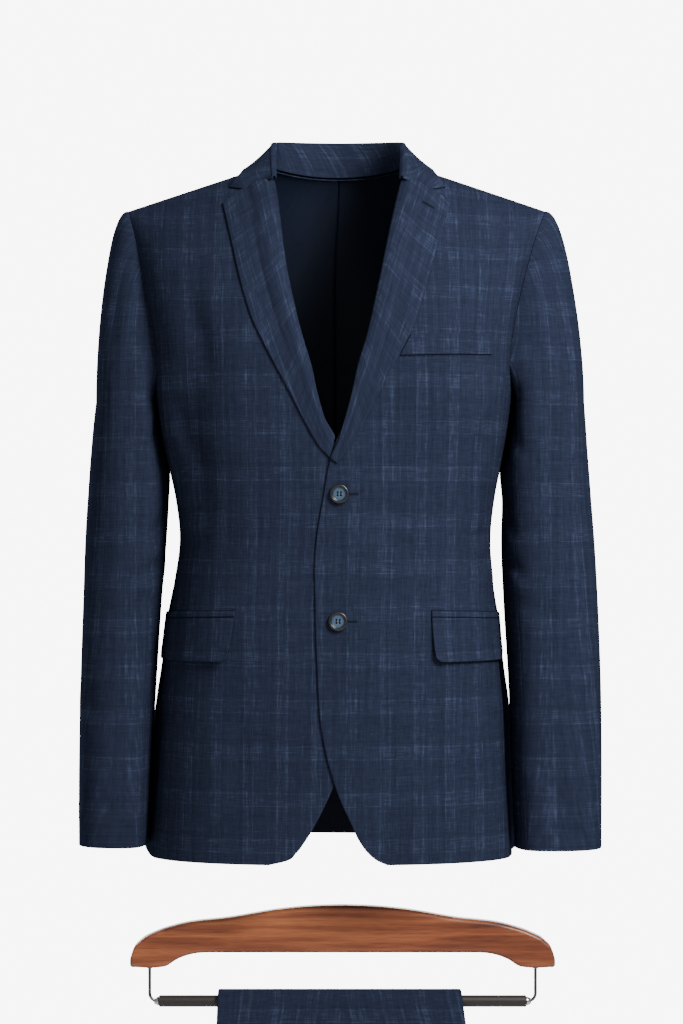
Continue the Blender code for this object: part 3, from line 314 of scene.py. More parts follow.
def yoke(side, back, f, w_angle):
    """A point above the armholes' start: f runs from the inner edge to the armhole and w_angle from
    0, at the level where the armholes start, to a right angle on the shoulder seam."""
    half, front, rear, square, _ = torso(YOKE_Z)
    rise = np.maximum(np.sin(w_angle), 0.0) ** (2 / YOKE_SQUARENESS)
    fall = np.maximum(np.cos(w_angle), 0.0) ** (2 / YOKE_SQUARENESS)
    outer_z = mix(YOKE_Z, SHOULDER_TIP[2], rise)
    if back:
        inner_x, outer_x = 0.0, armhole_back(outer_z)[0]
        start = f * armhole_back(YOKE_Z)[0]
        top_x = f * SHOULDER_TIP[0]
        at_neck = np.maximum(0.0, 1 - np.abs(top_x) / NECK_POINT[0])
        scoop = 1 - (1 - at_neck) ** 2.2
        top_y = NECK_POINT[1] + NAPE_DEPTH * scoop
        top_z = mix(NECK_POINT[2], SHOULDER_TIP[2], np.maximum(0.0, top_x - NECK_POINT[0])
                    / (SHOULDER_TIP[0] - NECK_POINT[0])) - NAPE_DROP * scoop
        depth = rear
    else:
        inner_z = mix(YOKE_Z, NECK_POINT[2], rise)
        inner_x, outer_x = roll_line(inner_z)[0], armhole_front(outer_z)[0]
        start = mix(roll_line(YOKE_Z)[0], armhole_front(YOKE_Z)[0], f)
        top_y = NECK_POINT[1]
        top_z = mix(NECK_POINT[2], SHOULDER_TIP[2], f)
        depth = front
    start_y = depth * np.maximum(1 - (np.abs(start) / half) ** square, 0.0) ** (1 / square)
    start_y = start_y if back else -start_y
    z = mix(YOKE_Z, top_z, rise)
    x = mix(inner_x, outer_x, f)
    return point(side * x + lean(z), mix(top_y, start_y, fall), z)


def yoke_normal(side, back, f, w_angle):
    w_angle = np.clip(w_angle, 0.02, math.pi / 2 - 0.05)
    inside = yoke(side, back, f, w_angle) * (0.6, 0.0, 0.0) + (0.0, 0.0, -0.2)
    return normal_of(lambda a, b: yoke(side, back, a, b), f, w_angle, 1e-3, 1e-3, inside=inside)


def shoulder_normal(side):
    """The direction square to the shoulder seam, straight up from both panels."""
    return unit(np.array([side * (NECK_POINT[2] - SHOULDER_TIP[2]), 0, SHOULDER_TIP[0] - NECK_POINT[0]]))


def front_at(side, x, z):
    """The points and normals of the jacket's front at these x and heights."""
    x, z = np.broadcast_arrays(np.asarray(x, float), np.asarray(z, float))
    angle = ring_angle(side, x, z)
    low = (ring(side, angle, z), ring_normal(side, angle, z))
    f, across = np.full(x.shape, 0.3), side * (x - lean(z))
    for _ in range(14):
        top_z = mix(NECK_POINT[2], SHOULDER_TIP[2], f)
        rise = np.clip((z - YOKE_Z) / (top_z - YOKE_Z), 0.0, 0.9995)
        w_angle = np.arcsin(rise ** (YOKE_SQUARENESS / 2))
        inner = roll_line(mix(YOKE_Z, NECK_POINT[2], rise))[0]
        outer = armhole_front(mix(YOKE_Z, SHOULDER_TIP[2], rise))[0]
        f = (across - inner) / (outer - inner)
    high = (yoke(side, False, f, w_angle), yoke_normal(side, False, f, w_angle))
    below = (z <= YOKE_Z)[..., None]
    place, away = (np.where(below, a, b) for a, b in zip(low, high))
    return place + away * lift(side, x, z)[..., None], away


# Length round the ring from the centre front, in a table of heights and angles
RUN_HEIGHTS = np.linspace(-0.76, -0.2, 113)
RUN_ANGLES = np.linspace(0, math.pi, 361)
run_table = lengths(ring(1, RUN_ANGLES[None, :], RUN_HEIGHTS[:, None]), 1)


def ring_run(angle, z):
    """The cloth's length round the torso from the centre front to this angle."""
    row = np.clip((z - RUN_HEIGHTS[0]) / (RUN_HEIGHTS[1] - RUN_HEIGHTS[0]), 0, len(RUN_HEIGHTS) - 1.001)
    column = np.clip(np.abs(angle) / RUN_ANGLES[1], 0, len(RUN_ANGLES) - 1.001)
    row, column = np.broadcast_arrays(row, column)
    i, j = row.astype(int), column.astype(int)
    low = mix(run_table[i, j], run_table[i, j + 1], column - j)
    high = mix(run_table[i + 1, j], run_table[i + 1, j + 1], column - j)
    return np.sign(angle) * mix(low, high, row - i)


# ---------------------------------------------------------------- materials

def add(tree, kind, inputs=(), **settings):
    made = tree.nodes.new("ShaderNode" + kind)
    for name, value in settings.items():
        setattr(made, name, value)
    for key, value in dict(inputs).items():
        if isinstance(value, bpy.types.NodeSocket):
            tree.links.new(value, made.inputs[key])
        else:
            made.inputs[key].default_value = value
    return made


def maths(tree, operation, a, b=0.0, c=0.0):
    return add(tree, "Math", {0: a, 1: b, 2: c}, operation=operation).outputs[0]


def noise(tree, vector, scale, detail, stretch=(1, 1, 1), rough=0.5):
    if stretch != (1, 1, 1):
        vector = add(tree, "Mapping", {"Vector": vector, "Scale": stretch}).outputs[0]
    made = add(tree, "TexNoise", {"Vector": vector, "Scale": scale, "Detail": detail, "Roughness": rough})
    return made.outputs[0]


def colours(tree, value, stops):
    """A colour along (place, colour) stops."""
    made = add(tree, "ValToRGB", {"Fac": value})
    points = made.color_ramp.elements
    while len(points) < len(stops):
        points.new(0.5)
    for each, (place, colour) in zip(points, stops):
        each.position = place
        each.color = (*colour, 1)
    return made.outputs[0]


def ramp(tree, value, stops):
    """A value along (place, value) stops."""
    return colours(tree, value, [(place, (level, level, level)) for place, level in stops])


def bump(tree, height, strength, distance):
    return add(tree, "Bump", {"Height": height, "Strength": strength, "Distance": distance}).outputs[0]


def new_material(name, roughness, specular=0.5, metallic=0.0, coat=0.0):
    made = bpy.data.materials.new(name)
    made.use_nodes = True
    shader = made.node_tree.nodes["Principled BSDF"]
    for key, value in (("Roughness", roughness), ("Specular IOR Level", specular), ("Metallic", metallic),
                       ("Coat Weight", coat)):
        shader.inputs[key].default_value = value
    return made, made.node_tree, shader


def join(shader, **sources):
    """Links each source to the shader's socket of that name, with _ for a space."""
    for key, source in sources.items():
        source.id_data.links.new(source, shader.inputs[key.replace("_", " ")])


CHECK_ACROSS, CHECK_DOWN = 0.0343, 0.0466    # the check's repeat across and down the cloth
CHECK_START = (0.0119, -0.5868)              # where one repeat begins
# One repeat of the check down the cloth and across it, as place in mm and level: bands of close
# lighter lines, with single faint ones between
LINES_DOWN = [(0.6, 0.0), (2.0, 1.0), (3.6, 0.32), (6.1, 0.55), (7.6, 0.28), (10.0, 0.32),
              (11.6, 0.90), (13.2, 0.0), (18.4, 0.0), (19.5, 0.35), (20.6, 0.0), (25.9, 0.0),
              (27.0, 0.28), (28.1, 0.0)]
LINES_ACROSS = [(0.6, 0.0), (2.0, 0.95), (3.5, 0.32), (5.3, 0.52), (6.8, 0.32), (8.2, 0.55), (9.7, 0.32),
                (11.2, 0.55), (13.0, 0.36), (14.6, 1.0), (16.1, 0.0), (29.8, 0.0), (31.0, 0.28),
                (32.2, 0.0)]
CUT_MAP = "cut"                              # metres on the flat cloth
YARN_PITCH = 0.0007
LINE_WEIGHTS = (0.22, 0.16)                  # how much the lines down and across lighten the cloth
YARN_WEIGHT, WARP_WEIGHT, WEFT_WEIGHT = 0.42, 0.30, 0.16      # and the yarns and their wide shades
LIGHT_OFFSET = 0.40                          # taken off again


def wool():
    """Navy wool with a faint broken check of lighter threads."""
    made, tree, shader = new_material("navy_check_wool", 0.92, specular=0.0)
    cut = add(tree, "UVMap", uv_map=CUT_MAP).outputs[0]
    sway = noise(tree, cut, 14.0, 1.0)
    sway = maths(tree, "MULTIPLY_ADD", sway, 0.0022, -0.0011)
    parts = add(tree, "SeparateXYZ", {0: cut})
    across = maths(tree, "ADD", parts.outputs[0], sway)
    down = maths(tree, "ADD", parts.outputs[1], sway)
    warp_yarn = noise(tree, cut, 1.0, 2.0, (760, 62, 1), 0.6)
    weft_yarn = noise(tree, cut, 1.0, 2.0, (62, 760, 1), 0.6)
    warp_shade = noise(tree, cut, 1.0, 1.0, (190, 9, 1))
    weft_shade = noise(tree, cut, 1.0, 1.0, (9, 190, 1))
    fade = ramp(tree, noise(tree, cut, 26.0, 2.0), [(0.34, 0.60), (0.60, 1.0)])
    levels = []
    for place, start, repeat, lines, yarn in (
            (across, CHECK_START[0], CHECK_ACROSS, LINES_DOWN, warp_yarn),
            (down, CHECK_START[1], CHECK_DOWN, LINES_ACROSS, weft_yarn)):
        place = maths(tree, "DIVIDE", maths(tree, "SUBTRACT", place, start), repeat)
        stops = [(at / 1000 / repeat, level) for at, level in lines]
        lined = ramp(tree, maths(tree, "FRACT", place), stops)
        broken = ramp(tree, yarn, [(0.30, 0.40), (0.65, 1.0)])
        levels.append(maths(tree, "MULTIPLY", maths(tree, "MULTIPLY", lined, broken), fade))
    light = 0.0
    for texture, weight in (*zip(levels, LINE_WEIGHTS), (warp_yarn, YARN_WEIGHT), (weft_yarn, YARN_WEIGHT),
                            (warp_shade, WARP_WEIGHT), (weft_shade, WEFT_WEIGHT)):
        light = maths(tree, "MULTIPLY_ADD", texture, weight, light)
    light = maths(tree, "SUBTRACT", light, LIGHT_OFFSET)
    colour = colours(tree, light, [(0.0, (0.0088, 0.0111, 0.0215)), (0.35, (0.0182, 0.0230, 0.0438)),
                                   (0.75, (0.0470, 0.0610, 0.1090))])
    yarns = [maths(tree, "SINE", maths(tree, "MULTIPLY", parts.outputs[k], 2 * math.pi / YARN_PITCH))
             for k in (0, 1)]
    weave = maths(tree, "MULTIPLY", *yarns)
    height = maths(tree, "MULTIPLY_ADD", weave, 0.25, maths(tree, "ADD", warp_yarn, weft_yarn))
    join(shader, Base_Color=colour, Normal=bump(tree, height, 0.35, 0.0002))
    return made


def satin():
    """The inside of the cloth: a dark twill-lined face."""
    made, tree, shader = new_material("dark_lining", 0.50, specular=0.12)
    cut = add(tree, "UVMap", uv_map=CUT_MAP).outputs[0]
    fine = noise(tree, cut, 1.0, 2.0, (900, 90, 1))
    wide = noise(tree, cut, 9.0, 2.0)
    light = maths(tree, "MULTIPLY_ADD", fine, 0.4, maths(tree, "MULTIPLY", wide, 0.6))
    colour = colours(tree, light, [(0.2, (0.0040, 0.0058, 0.0130)), (0.8, (0.0090, 0.0125, 0.0260))])
    join(shader, Base_Color=colour, Normal=bump(tree, fine, 0.2, 0.0002))
    return made


cloth, lining = wool(), satin()


# ---------------------------------------------------------------- creases

class Creases:
    """Soft folds that move a cloth surface along its normals. Each is a line of places with a half
    width and a depth: a valley with a low ridge on one side, fading at both ends."""

    def __init__(self, folds):
        self.folds = [(np.array(places, float), wide, deep) for places, wide, deep in folds]

    def rise(self, places, normals):
        total = np.zeros(places.shape[:-1])
        for line, wide, deep in self.folds:
            spans = np.linalg.norm(np.diff(line, axis=0), axis=1)
            starts = np.concatenate([[0], np.cumsum(spans)])
            best = np.full(total.shape, np.inf)
            offset, along = np.zeros(total.shape), np.zeros(total.shape)
            for k, span in enumerate(spans):
                step = (line[k + 1] - line[k]) / span
                reach = places - line[k]
                t = np.clip(dot(reach, step), 0, span)
                gap = reach - t[..., None] * step
                far = np.linalg.norm(gap, axis=-1)
                sideways = dot(gap, unit(np.cross(step, normals)))
                closer = far < best
                best = np.where(closer, far, best)
                offset = np.where(closer, np.copysign(far, sideways), offset)
                along = np.where(closer, (starts[k] + t) / starts[-1], along)
            fade = np.sin(math.pi * np.clip(along, 0.0, 1.0)) ** 0.7
            valley = np.exp(-(offset / wide) ** 2)
            ridge = np.exp(-((offset - 1.7 * wide) / (1.3 * wide)) ** 2)
            total += deep * fade * (0.6 * ridge - valley)
        return total


# ---------------------------------------------------------------- making shells

def to_object(name, bm, materials, smooth_angle=50):
    mesh = bpy.data.meshes.new(name)
    bm.to_mesh(mesh)
    bm.free()
    mesh.shade_smooth()
    mesh.set_sharp_from_angle(angle=math.radians(smooth_angle))
    for each in materials:
        mesh.materials.append(each)
    made = bpy.data.objects.new(name, mesh)
    bpy.context.scene.collection.objects.link(made)
    return made


def own(made, slot_name, *nodes):
    """The piece rides on the suit's body and stands for these nodes, which it hides. slot_name is not used.
    """
    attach(made, "root")
    if nodes:
        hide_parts(*nodes)
    return made


LEAST_FLAT, LEAST_FILL = 0.0105, 0.31        # the smallest flat side, and area as a part of the box
ROUND = 0.0013               # how near to its edges a cloth piece starts to round off
SEAM_ROUND, EDGE_ROUND = 0.14, 0.38      # how deep, as a part of the wall, at seams and at free edges


def shell(name, places, normals, cut, thickness, *, node, outset=0.0, creases=None,
          rounding=SEAM_ROUND):
    """A cloth piece: a closed thin wall whose outer face is the grid of places, moved by its creases."""
    if creases is not None:
        places = places + normals * creases.rise(places, normals)[..., None]
    across, down = lengths(places, 1), lengths(places, 0)
    edge = np.minimum(np.minimum(across, across[:, -1:] - across), np.minimum(down, down[-1:] - down))
    turn = 1 - np.clip(edge / ROUND, 0, 1)
    inset = rounding * thickness * (1 - np.sqrt(1 - turn ** 2))
    rows, columns = edge.shape
    outer = places + normals * (outset - inset)[..., None]
    inner = places + normals * (outset - thickness)
    vertices = np.concatenate([outer.reshape(-1, 3), inner.reshape(-1, 3)])
    index = np.arange(rows * columns).reshape(rows, columns)
    a, b, c, d = (index[i:rows - 1 + i, j:columns - 1 + j].ravel()
                  for i, j in ((0, 0), (1, 0), (1, 1), (0, 1)))
    facing = np.cross(outer[1:, :-1] - outer[:-1, :-1], outer[:-1, 1:] - outer[:-1, :-1])
    forward = np.sum(dot(facing, normals[:-1, :-1])) > 0
    front = np.stack([a, b, c, d] if forward else [a, d, c, b], 1)
    back = front[:, ::-1] + rows * columns
    rim = np.concatenate([index[0, :-1], index[:-1, -1], index[-1, :0:-1], index[:0:-1, 0]])
    after = np.roll(rim, -1)
    around = np.stack([rim, after, after + rows * columns, rim + rows * columns], 1)
    around = around if forward else around[:, ::-1]
    mesh = bpy.data.meshes.new(name)
    mesh.from_pydata(vertices, [], np.concatenate([front, back, around]).tolist())
    flat = np.tile(cut.reshape(-1, 2), (2, 1))
    loops = np.empty(len(mesh.loops), int)
    mesh.loops.foreach_get("vertex_index", loops)
    mesh.uv_layers.new(name=CUT_MAP).data.foreach_set("uv", flat[loops].ravel())
    mesh.materials.append(cloth)
    mesh.materials.append(lining)
    inside = np.zeros(len(mesh.polygons), int)
    inside[len(front):len(front) + len(back)] = 1
    mesh.polygons.foreach_set("material_index", inside)
    mesh.shade_smooth()
    made = bpy.data.objects.new(name, mesh)
    bpy.context.scene.collection.objects.link(made)
    own(made, "suit_cloth", node)
    size = (float(across[:, -1].max()), float(down[-1].max()))
    size = (max(size[0], LEAST_FLAT), max(size[1], LEAST_FLAT))
    return made


# ---------------------------------------------------------------- the jacket's body

GRID = 0.0045                # cloth grid spacing
ROLL_SHIFT = 0.0030          # the rolled edge stands this far in from the front panel's own edge


def on_body(degrees, z):
    """A point of the torso by its turn from the centre front: positive is the wearer's left."""
    return ring(1 if degrees > 0 else -1, math.radians(abs(degrees)), z)


def on_front(x, z):
    return front_at(1 if x > 0 else -1, x, z)[0]


# Folds of the body: places with their height, half width, depth. A place across is x in metres on the
# front, or a turn in degrees from the centre front where it is over 1.
BODY_FOLD_ROWS = [
    # drag lines from the closed button, uneven from side to side
    ([(0.012, -0.372), (0.060, -0.388), (42, -0.396)], 0.0085, 0.0016),
    ([(0.014, -0.384), (0.055, -0.416), (40, -0.436)], 0.0100, 0.0013),
    ([(0.020, -0.352), (0.070, -0.336), (50, -0.318)], 0.0110, 0.0012),
    ([(-0.022, -0.376), (-0.066, -0.400), (-45, -0.410)], 0.0090, 0.0016),
    ([(-0.020, -0.356), (-0.074, -0.350), (-56, -0.330)], 0.0110, 0.0012),
    ([(-0.028, -0.398), (-0.060, -0.440), (-38, -0.470)], 0.0120, 0.0012),
    # at the waist's sides
    ([(50, -0.402), (62, -0.410), (78, -0.402)], 0.0080, 0.0020),
    ([(54, -0.430), (66, -0.436), (80, -0.426)], 0.0090, 0.0017),
    ([(96, -0.376), (110, -0.382), (126, -0.368)], 0.0085, 0.0030),
    ([(98, -0.414), (116, -0.422), (134, -0.412)], 0.0090, 0.0032),
    ([(-48, -0.412), (-62, -0.416), (-80, -0.406)], 0.0085, 0.0021),
    ([(-54, -0.376), (-66, -0.386), (-80, -0.380)], 0.0080, 0.0018),
    ([(-98, -0.442), (-112, -0.446), (-128, -0.430)], 0.0100, 0.0032),
    ([(-96, -0.396), (-112, -0.404), (-124, -0.398)], 0.0080, 0.0026),
    # down from the armholes
    ([(62, -0.262), (58, -0.300), (50, -0.345)], 0.0100, 0.0019),
    ([(-60, -0.258), (-55, -0.305), (-46, -0.352)], 0.0110, 0.0021),
    ([(114, -0.262), (120, -0.300), (128, -0.338)], 0.0095, 0.0024),
    ([(-116, -0.258), (-124, -0.306), (-130, -0.350)], 0.0105, 0.0022),
    ([(0.158, -0.150), (0.146, -0.195), (0.128, -0.240)], 0.0110, 0.0018),
    ([(-0.156, -0.160), (-0.140, -0.205), (-0.126, -0.262)], 0.0120, 0.0020),
    # wide soft hollows down the chest's sides
    ([(0.150, -0.120), (0.146, -0.210), (50, -0.300), (52, -0.380)], 0.0240, 0.0042),
    ([(-0.152, -0.110), (-0.148, -0.215), (-51, -0.310), (-52, -0.400)], 0.0250, 0.0058),
    # the back: waist, shoulder blades and skirt
    ([(142, -0.398), (160, -0.406), (176, -0.396)], 0.0095, 0.0037),
    ([(-136, -0.410), (-156, -0.414), (-174, -0.408)], 0.0100, 0.0034),
    ([(150, -0.432), (166, -0.440), (178, -0.436)], 0.0085, 0.0024),
    ([(-146, -0.374), (-162, -0.382), (-178, -0.378)], 0.0085, 0.0026),
    ([(134, -0.250), (144, -0.300), (150, -0.356)], 0.0120, 0.0031),
    ([(-138, -0.246), (-147, -0.290), (-150, -0.340)], 0.0110, 0.0034),
    ([(128, -0.560), (131, -0.650), (130, -0.740)], 0.0180, 0.0051),
    ([(-130, -0.575), (-134, -0.660), (-132, -0.742)], 0.0170, 0.0044),
    ([(154, -0.600), (156, -0.680), (155, -0.745)], 0.0160, 0.0034),
    # the skirt's sides and front
    ([(72, -0.570), (74, -0.650), (76, -0.742)], 0.0190, 0.0028),
    ([(-76, -0.570), (-81, -0.650), (-82, -0.746)], 0.0180, 0.0040),
    ([(101, -0.450), (103, -0.640), (104, -0.900)], 0.0260, -0.0088),
    ([(-102, -0.430), (-104, -0.640), (-103, -0.900)], 0.0260, -0.0088),
    ([(0.098, -0.560), (0.104, -0.640), (0.100, -0.720)], 0.0170, 0.0016),
    ([(-0.108, -0.550), (-0.100, -0.630), (-0.104, -0.715)], 0.0160, 0.0015),
]


def on_jacket(across, z):
    return on_body(across, z) if abs(across) > 1 else on_front(across, z)


BODY_FOLDS = Creases([([on_jacket(*place) for place in places], wide, deep)
                      for places, wide, deep in BODY_FOLD_ROWS])


def steps_between(low, high, spacing=GRID):
    return np.linspace(low, high, max(2, int(abs(high - low) / spacing) + 1))


# The hem's corners turn quickly, so its rows lie close together
ring_heights = np.concatenate([[HEM_FRONT_Z, HEM_FRONT_Z + EDGE_STEPS[0], HEM_FRONT_Z + EDGE_STEPS[1]],
                               steps_between(-0.7345, -0.7000, 0.0018), steps_between(-0.6960, YOKE_Z)])
YOKE_TURNS = (math.pi / 2) * spread(44, 0.21)[1:]


def front_edge_x(side, z):
    """x of the front panel's own edge. On the roll line the lapel turns round it."""
    rolled = side * (roll_line(z)[0] + ROLL_SHIFT * ease((z - CROSSING_Z) / 0.02)) + lean(z)
    return np.where(z > CROSSING_Z, rolled, front_edges(z)[0 if side > 0 else 1])


def front_panel(side):
    """Front: from the front edge or the roll line to the front side seam or the armhole."""
    along = spread(46, 0.2)[None, :]
    z = ring_heights[:, None]
    first = ring_angle(side, front_edge_x(side, z), z)
    angle = mix(first, long_seams(z)[0], along)
    z = z + 0 * angle
    low, low_normals = ring(side, angle, z), ring_normal(side, angle, z)
    low = low + low_normals * lift(side, low[..., 0], z)[..., None]
    reach = side * (low[-1, :, 0] - lean(YOKE_Z))
    start, end = roll_line(YOKE_Z)[0], armhole_front(YOKE_Z)[0]
    f = ((reach - start) / (end - start))[None, :]
    turn = YOKE_TURNS[:, None]
    high, high_normals = yoke(side, False, f, turn), yoke_normal(side, False, f, turn)
    high_normals[-1] = shoulder_normal(side)
    places, normals = np.concatenate([low, high]), np.concatenate([low_normals, high_normals])
    across = np.concatenate([ring_run(angle, z), 0 * high[..., 0]])
    rows = len(low)
    across[rows:] = lengths(high, 1) + side * (high[:, :1, 0] - lean(YOKE_Z))
    down = np.concatenate([z, YOKE_Z + lengths(places, 0)[rows:] - lengths(places, 0)[rows - 1]])
    shell(f"cloth_front_{SIDE_NAMES[side]}", places, normals, np.stack([side * across, down], -1),
          JACKET_WALL, creases=BODY_FOLDS,
          node=f"front_{SIDE_NAMES[side]}")


def side_top(s):
    return YOKE_Z - ARMHOLE_DIP * np.sin(math.pi * np.clip(s, 0, 1)) ** 0.8


def side_panel(side):
    """Side body: under the arm, from the front side seam to the back one."""
    s = spread(24, 0.11)[None, :]
    t = spread(112, 0.48)[:, None]
    z = mix(mix(HEM_FRONT_Z, HEM_SIDE_BACK_Z, s), side_top(s), t)
    height = mix(HEM_FRONT_Z, YOKE_Z, t)
    angle = mix(*long_seams(height), s)
    run, middle = ring_run(angle, z), np.mean(long_seams(YOKE_Z))
    run = run + ring_run(np.array(middle), np.array(YOKE_Z)) - ring_run(mix(*long_seams(height), 0.5), z)
    cut = np.stack([side * run, z], -1)
    shell(f"cloth_side_{SIDE_NAMES[side]}", ring(side, angle, z), ring_normal(side, angle, z), cut,
          JACKET_WALL, creases=BODY_FOLDS,
          node=f"side_{SIDE_NAMES[side]}")


VENT_OPEN = 0.0034            # how far the vent's upper edge stands off at the hem
SEAM_SHARE = 0.8              # the share of the waist's shaping that the back's outer seams take
VENT_LAP = np.array([VENT_FROM, 0.0118, 0.0095, 0.0070, 0.0050, VENT_SUNK, 0.0, -0.006, -0.012, -0.018,
                     -0.024, -0.030, -0.0327, -0.0336, VENT_END])


def back_panel(side):
    """Back: from the back side seam to the centre-back seam. Below the vent's top the wearer's left
    back runs on under the right one."""
    heights = np.unique(np.concatenate([steps_between(HEM_FRONT_Z, YOKE_Z), HEM_FRONT_Z + EDGE_STEPS,
                                        VENT_TOP_Z + np.array([-0.003, 0, 0.014])]))
    height = heights[:, None]
    along = spread(44, 0.19)
    first = long_seams(height)[1]
    whole = mix(first, math.pi, along[None, :])
    angle, sunk = whole, 0 * whole
    if side > 0:
        lap = ring_angle(side, lean(height) + side * VENT_LAP[None, :], height, back=True)
        rest = mix(first, lap[:, :1], np.linspace(0, 1, len(along) - len(VENT_LAP) + 1)[None, :-1])
        below = height < VENT_TOP_Z + 1e-6
        angle = np.where(below, np.concatenate([rest, lap], 1), whole)
        under = ease((VENT_FROM - VENT_LAP) / (VENT_FROM - VENT_SUNK))
        sunk = np.where(below, np.concatenate([0 * rest[0], under])[None, :], 0.0)
    t = (height - HEM_FRONT_Z) / (YOKE_Z - HEM_FRONT_Z)
    z = mix(mix(HEM_SIDE_BACK_Z, HEM_BACK_Z, along[None, :]), YOKE_Z, t)
    low, low_normals = ring(side, angle, z), ring_normal(side, angle, z)
    low = low - low_normals * ((JACKET_WALL + LAYER) * sunk)[..., None]
    if side < 0:            # the vent's upper edge hangs a little open
        near = np.exp(-((low[..., 0] - lean(z)) / 0.016) ** 2)
        low = low + low_normals * (VENT_OPEN * near * ease((VENT_TOP_Z - z) / 0.12))[..., None]
    f = (np.abs(low[-1, :, 0] - lean(YOKE_Z)) / armhole_back(YOKE_Z)[0])[None, :]
    turn = YOKE_TURNS[:, None]
    high, high_normals = yoke(side, True, f, turn), yoke_normal(side, True, f, turn)
    on_shoulder = side * (high[-1, :, 0] - lean(high[-1, :, 2])) > NECK_POINT[0] - 0.002
    high_normals[-1] = np.where(on_shoulder[:, None], shoulder_normal(side), high_normals[-1])
    places, normals = np.concatenate([low, high]), np.concatenate([low_normals, high_normals])
    rows = len(low)
    middle = ring_run(np.array(math.pi), np.array(YOKE_Z))
    high_run = lengths(high, 1)
    taken_in = SEAM_SHARE * (middle - ring_run(np.array(math.pi), z))
    across = np.concatenate([ring_run(angle, z) + taken_in, middle - (high_run[:, -1:] - high_run)])
    run = lengths(places, 0)
    down = np.concatenate([z, YOKE_Z + run[rows:] - run[rows - 1]])
    shell(f"cloth_back_{SIDE_NAMES[side]}", places, normals, np.stack([side * across, down], -1),
          JACKET_WALL, creases=BODY_FOLDS,
          node=f"back_{SIDE_NAMES[side]}", rounding=EDGE_ROUND)


# ---------------------------------------------------------------- lapels and collar

# The lapel's rows, as the heights of their inner end on the roll line and their outer end on the edge
LAPEL_ROWS = [
    (-0.3120, -0.3325), (-0.2900, -0.3160), (-0.2650, -0.2930), (-0.2400, -0.2680), (-0.2150, -0.2430),
    (-0.1900, -0.2170), (-0.1650, -0.1910), (-0.1400, -0.1650), (-0.1170, -0.1410), (-0.0970, -0.1190),
    (-0.0800, -0.1010), (-0.0640, -0.0845),
]
NOTCH_COLUMN = 0.6
LAPEL_TIP_Z = -0.0686
LAPEL_FOOT = {1: ((-0.0062, -0.3310), (-0.0015, -0.3345)), -1: ((-0.0042, -0.3118), (-0.0088, -0.3290))}
ROLL_BULGE = 0.0042          # how far the roll stands off the front
LAPEL_GRAIN = math.radians(15)       # the lapel's check leans with its edge
FACING = 0.012               # how far the lapel runs on behind the front


def lapel_places(side, rows, columns):
    """Places on the front as distance from the middle and height: rows run from 0 at the foot to 1
    at the gorge, columns from the roll line to the edge."""
    pairs = LAPEL_ROWS if side > 0 else LAPEL_ROWS[1:]
    foot = [np.array([side * (x - lean(z)), z]) for x, z in LAPEL_FOOT[side]]
    inner = [foot[0]] + [np.array([roll_line(a)[0], a]) for a, _ in pairs] + [np.array(GORGE_START)]
    outer = [foot[1]] + [np.array([lapel_edge(b)[0], b]) for _, b in pairs]
    outer += [np.array([lapel_edge(LAPEL_TIP_Z)[0], LAPEL_TIP_Z])]
    inner[-1] = inner[-1] - (0, GORGE_GAP)
    at = np.linspace(0, 1, len(inner))
    inside = np.moveaxis(track([(a, *p) for a, p in zip(at, inner)])(rows), 0, -1)[:, None]
    outside = np.moveaxis(track([(a, *p) for a, p in zip(at, outer)])(rows), 0, -1)[:, None]
    places = mix(inside, outside, columns[None, :, None])
    corner = np.array(NOTCH) - (0, GORGE_GAP)
    to_corner = mix(inner[-1], corner, (columns / NOTCH_COLUMN)[:, None])
    to_tip = mix(corner, outer[-1], ((columns - NOTCH_COLUMN) / (1 - NOTCH_COLUMN))[:, None])
    gorge = np.where((columns <= NOTCH_COLUMN)[:, None], to_corner, to_tip)
    last = np.clip((rows - at[-2]) / (at[-1] - at[-2]), 0, 1)[:, None, None]
    return mix(places, gorge[None], last)


def lapel(side):
    """Lapel: turned back on the front from the roll line, round whose edge it runs on inside."""
    rows = spread(70, 0.29)
    columns = np.unique(np.concatenate([spread(26, 0.07), [NOTCH_COLUMN]]))
    flat = lapel_places(side, rows, columns)
    x, z = flat[..., 0], flat[..., 1]
    shift = ROLL_SHIFT * ease(rows / 0.08)[:, None] * (1 - ease(columns / 0.4))[None, :]
    places, normals = front_at(side, side * (x + shift) + lean(z), z)
    width = np.abs(x[:, -1:] - x[:, :1]) * np.where(rows > 0.999, 0.1, 1.0)[:, None]
    hump = np.sin(math.pi * np.clip(columns / 0.5, 0, 1)) ** 0.7 * (columns < 0.5)
    places = places + normals * (np.minimum(ROLL_BULGE, 0.06 * width) * hump[None, :])[..., None]
    # round the front's edge and on behind it
    core, away = places[:, :1] - normals[:, :1] * JACKET_WALL / 2, normals[:, :1]
    inward = -unit(places[:, 3:4] - places[:, :1])
    inward = unit(inward - away * dot(inward, away)[..., None])
    turns = np.linspace(math.pi, 0, 11)[None, :-1, None]
    round_normals = away * np.cos(turns) + inward * np.sin(turns)
    size = JACKET_WALL / 2
    behind = np.array([FACING, FACING - 0.0013, 0.008, 0.004])[None, :, None]
    wrap = np.concatenate([core - away * size - inward * behind, core + round_normals * size], 1)
    wrap_normals = np.concatenate([-away + 0 * behind, round_normals], 1)
    places = np.concatenate([wrap, places], 1)
    normals = np.concatenate([wrap_normals, normals], 1)
    run = lengths(places, 1)
    u = x[:, :1] - run[:, len(wrap[0]):][:, :1] + run
    v = z[:, :1] + 0 * run
    cosine, sine = math.cos(LAPEL_GRAIN), math.sin(LAPEL_GRAIN)
    cut = np.stack([side * (u * cosine - v * sine), u * sine + v * cosine], -1)
    shell(f"cloth_lapel_{SIDE_NAMES[side]}", places, normals, cut, JACKET_WALL,
          outset=STAND_OFF + JACKET_WALL,
          creases=BODY_FOLDS, node=f"lapel_{SIDE_NAMES[side]}")


